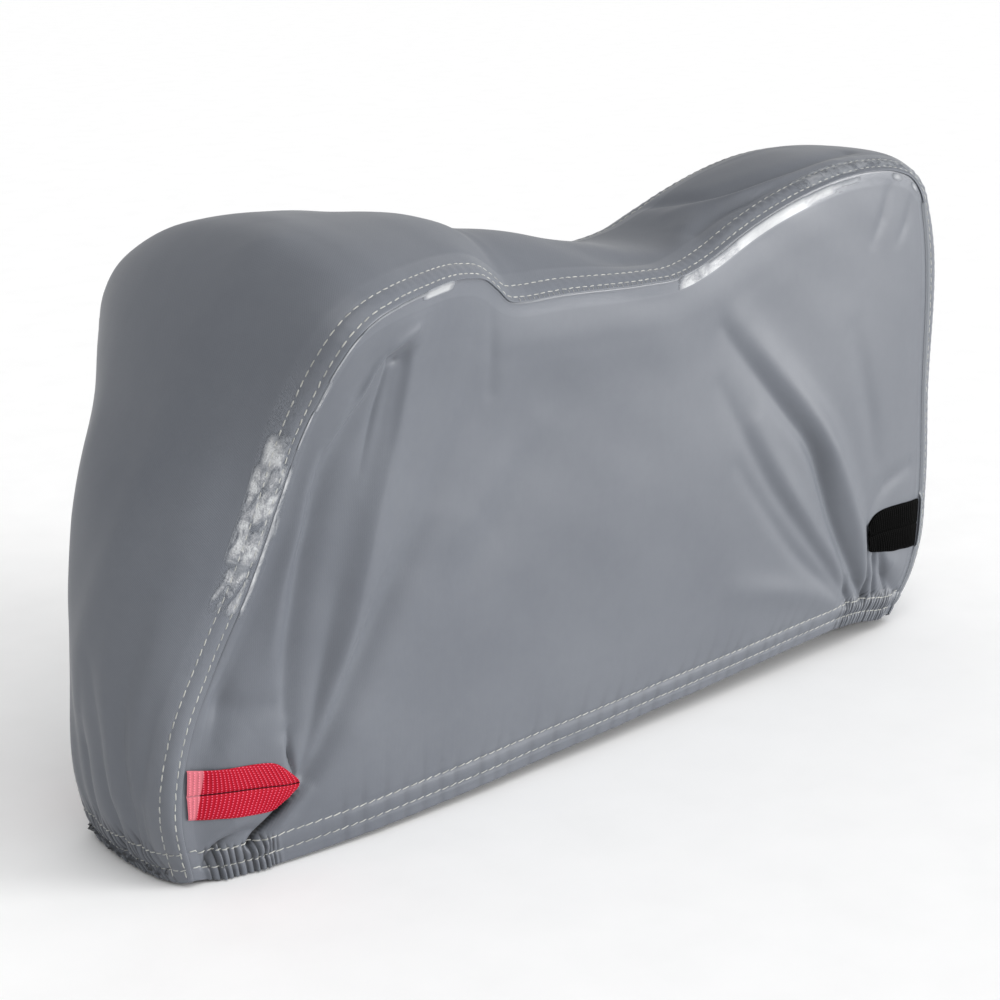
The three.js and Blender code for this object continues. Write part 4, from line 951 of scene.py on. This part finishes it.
def polyester_webbing(name, shaded_colour, middle, light, shine, hazed):
    """Heavy polyester webbing, yarn-dyed and woven in ribs: painted bright as a highlight where the thick
    yarns loop over and painted dark as shade in the gaps, with a little shine, and hazed at the end under the
    tape."""
    material, tree = new_material(name)
    pattern = add(tree, "UVMap", uv_map="pattern").outputs["UV"]
    # A wave's period is 2 pi / 20 over its scale: the ribs along the band, the thread loops across it.
    ribs, beads = (add(tree, "TexWave", {"Vector": pattern, "Scale": 314.16 / pitch,
                                         "Distortion": wobble, "Detail": 0.0}, bands_direction=way)
                   for pitch, wobble, way in ((RIB, 0.5, "X"), (BEAD, 0.4, "Y")))
    narrow = add(tree, "Math", {0: ribs.outputs["Fac"], 1: 3.5}, operation="POWER")
    loops = add(tree, "Math", {0: beads.outputs["Fac"], 1: 1.1, 2: -0.25}, operation="MULTIPLY_ADD")
    raised = add(tree, "Math", {0: narrow, 1: loops, 2: 0.22}, operation="MULTIPLY_ADD")
    # Filaments inside a yarn, drawn 1 mm apart.
    strand = add(tree, "TexNoise", {"Vector": pattern, "Scale": 800.0, "Detail": 3.0})
    tone = add(tree, "Math", {0: strand.outputs["Fac"], 1: 0.22, 2: raised}, operation="MULTIPLY_ADD")
    # The slit between the two layers, along the middle, is painted dark as shade.
    place = add(tree, "SeparateXYZ", {0: pattern})
    away = add(tree, "Math", {0: place.outputs["Y"]}, operation="ABSOLUTE")
    outside_slit_shade = add(tree, "MapRange", {"Value": away, "From Min": 0.0006, "From Max": 0.0022})
    tone = add(tree, "Math", {0: tone, 1: outside_slit_shade}, operation="MULTIPLY")
    # The tone follows the weave's height: its dark end is painted shade in the gaps, its light end a painted
    # highlight on the yarn loops.
    colour = coloured(tree, tone, [(0.0, shaded_colour), (0.3, middle), (0.5, middle), (0.95, light)])
    # The end under the tape looks hazed, up to the tape's slanting edge.
    slanting = add(tree, "Math", {0: place.outputs["Y"], 1: -0.12, 2: place.outputs["X"]},
                   operation="MULTIPLY_ADD")
    under = add(tree, "MapRange", {
        "Value": slanting, "From Min": 0.0215, "From Max": 0.0235,
        "To Min": 0.55, "To Max": 0.0})
    colour = add(tree, "Mix", {0: under, 6: colour, 7: linear(hazed)}, data_type="RGBA").outputs[2]
    bump = add(tree, "Bump", {"Strength": 0.6, "Distance": 0.0008, "Height": tone})
    shader = add(tree, "BsdfPrincipled", {
        "Base Color": colour, "Roughness": 0.6, "Specular IOR Level": shine, "Normal": bump})
    add(tree, "OutputMaterial", {"Surface": shader})
    return material


# For each colour of webbing: painted shade, middle, painted highlight, shine and haze under the tape.
red = polyester_webbing("polyester_webbing_red", "#2e0209", "#a40d23", "#e4607a", 0.1, "#dc8d98")
black = polyester_webbing("polyester_webbing_black", "#000000", "#010101", "#161616", 0.015, "#0c0c0c")
for name, surface in (("left", left), ("right", right)):
    for end, outline, material, slot in (("front", FRONT_LOOP, red, "red_webbing"),
                                         ("rear", REAR_LOOP, black, "black_webbing")):
        points, faces, uv = loop_surface(surface, outline)
        loop = make_piece(f"{end}_loop_webbing_{name}", points, faces, material, uv)
        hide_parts(f"{end}_loop_{name}")

# Studio. A pale floor just under the hem, a broad low light from the rear left, a weaker one from
# above and a white surround. The camera stands at the front left, a little above the cover.


def studio_floor():
    """Matt white painted board."""
    material, tree = new_material("board_white_matt")
    place = add(tree, "TexCoord").outputs["Object"]
    grain = add(tree, "TexNoise", {"Vector": place, "Scale": 8.0, "Detail": 3.0})
    colour = coloured(tree, grain.outputs["Fac"], [(0.3, "#f8f8f8"), (0.7, "#fbfbfb")])
    shader = add(tree, "BsdfPrincipled", {"Base Color": colour, "Roughness": 0.8})
    add(tree, "OutputMaterial", {"Surface": shader})
    return material


corners = np.array([[-1, -1, 0], [1, -1, 0], [1, 1, 0], [-1, 1, 0]]) * 60.0
floor_mesh = bpy.data.meshes.new("floor")
floor_mesh.from_pydata([(x, y, -0.003) for x, y, _ in corners], [], [(0, 1, 2, 3)])
floor_mesh.materials.append(studio_floor())
floor = bpy.data.objects.new("floor", floor_mesh)
bpy.context.scene.collection.objects.link(floor)


def far_light(name, toward, energy, width):
    """A light far away in a direction, its width in degrees."""
    data = bpy.data.lights.new(name, "SUN")
    data.energy = energy
    data.angle = np.radians(width)
    light = bpy.data.objects.new(name, data)
    light.rotation_euler = Vector(toward).to_track_quat("Z", "Y").to_euler()
    bpy.context.scene.collection.objects.link(light)


far_light("rear_left_light", (-0.68, 0.70, 0.14), 3.5, 30)
far_light("top_light", (0.05, 0.45, 0.9), 1.0, 60)
world = bpy.data.worlds.new("studio")
world.use_nodes = True
world.node_tree.nodes["Background"].inputs["Color"].default_value = (1, 1, 1, 1)
world.node_tree.nodes["Background"].inputs["Strength"].default_value = 0.62
bpy.context.scene.world = world
bpy.context.scene.view_settings.view_transform = "Standard"

azimuth, elevation, distance = np.radians(48), np.radians(17.5), 4.1
toward = Vector((np.cos(azimuth) * np.cos(elevation), np.sin(azimuth) * np.cos(elevation), np.sin(elevation)))
target = Vector((0.136, 0, 0.46)) + Vector(PLACE) / 1000
camera_data = bpy.data.cameras.new("camera")
camera_data.lens = 78.84
camera_data.sensor_width = 36
camera = bpy.data.objects.new("camera", camera_data)
camera.location = target + toward * distance
camera.rotation_euler = (-toward).to_track_quat("-Z", "Y").to_euler()
bpy.context.scene.collection.objects.link(camera)
bpy.context.scene.camera = camera
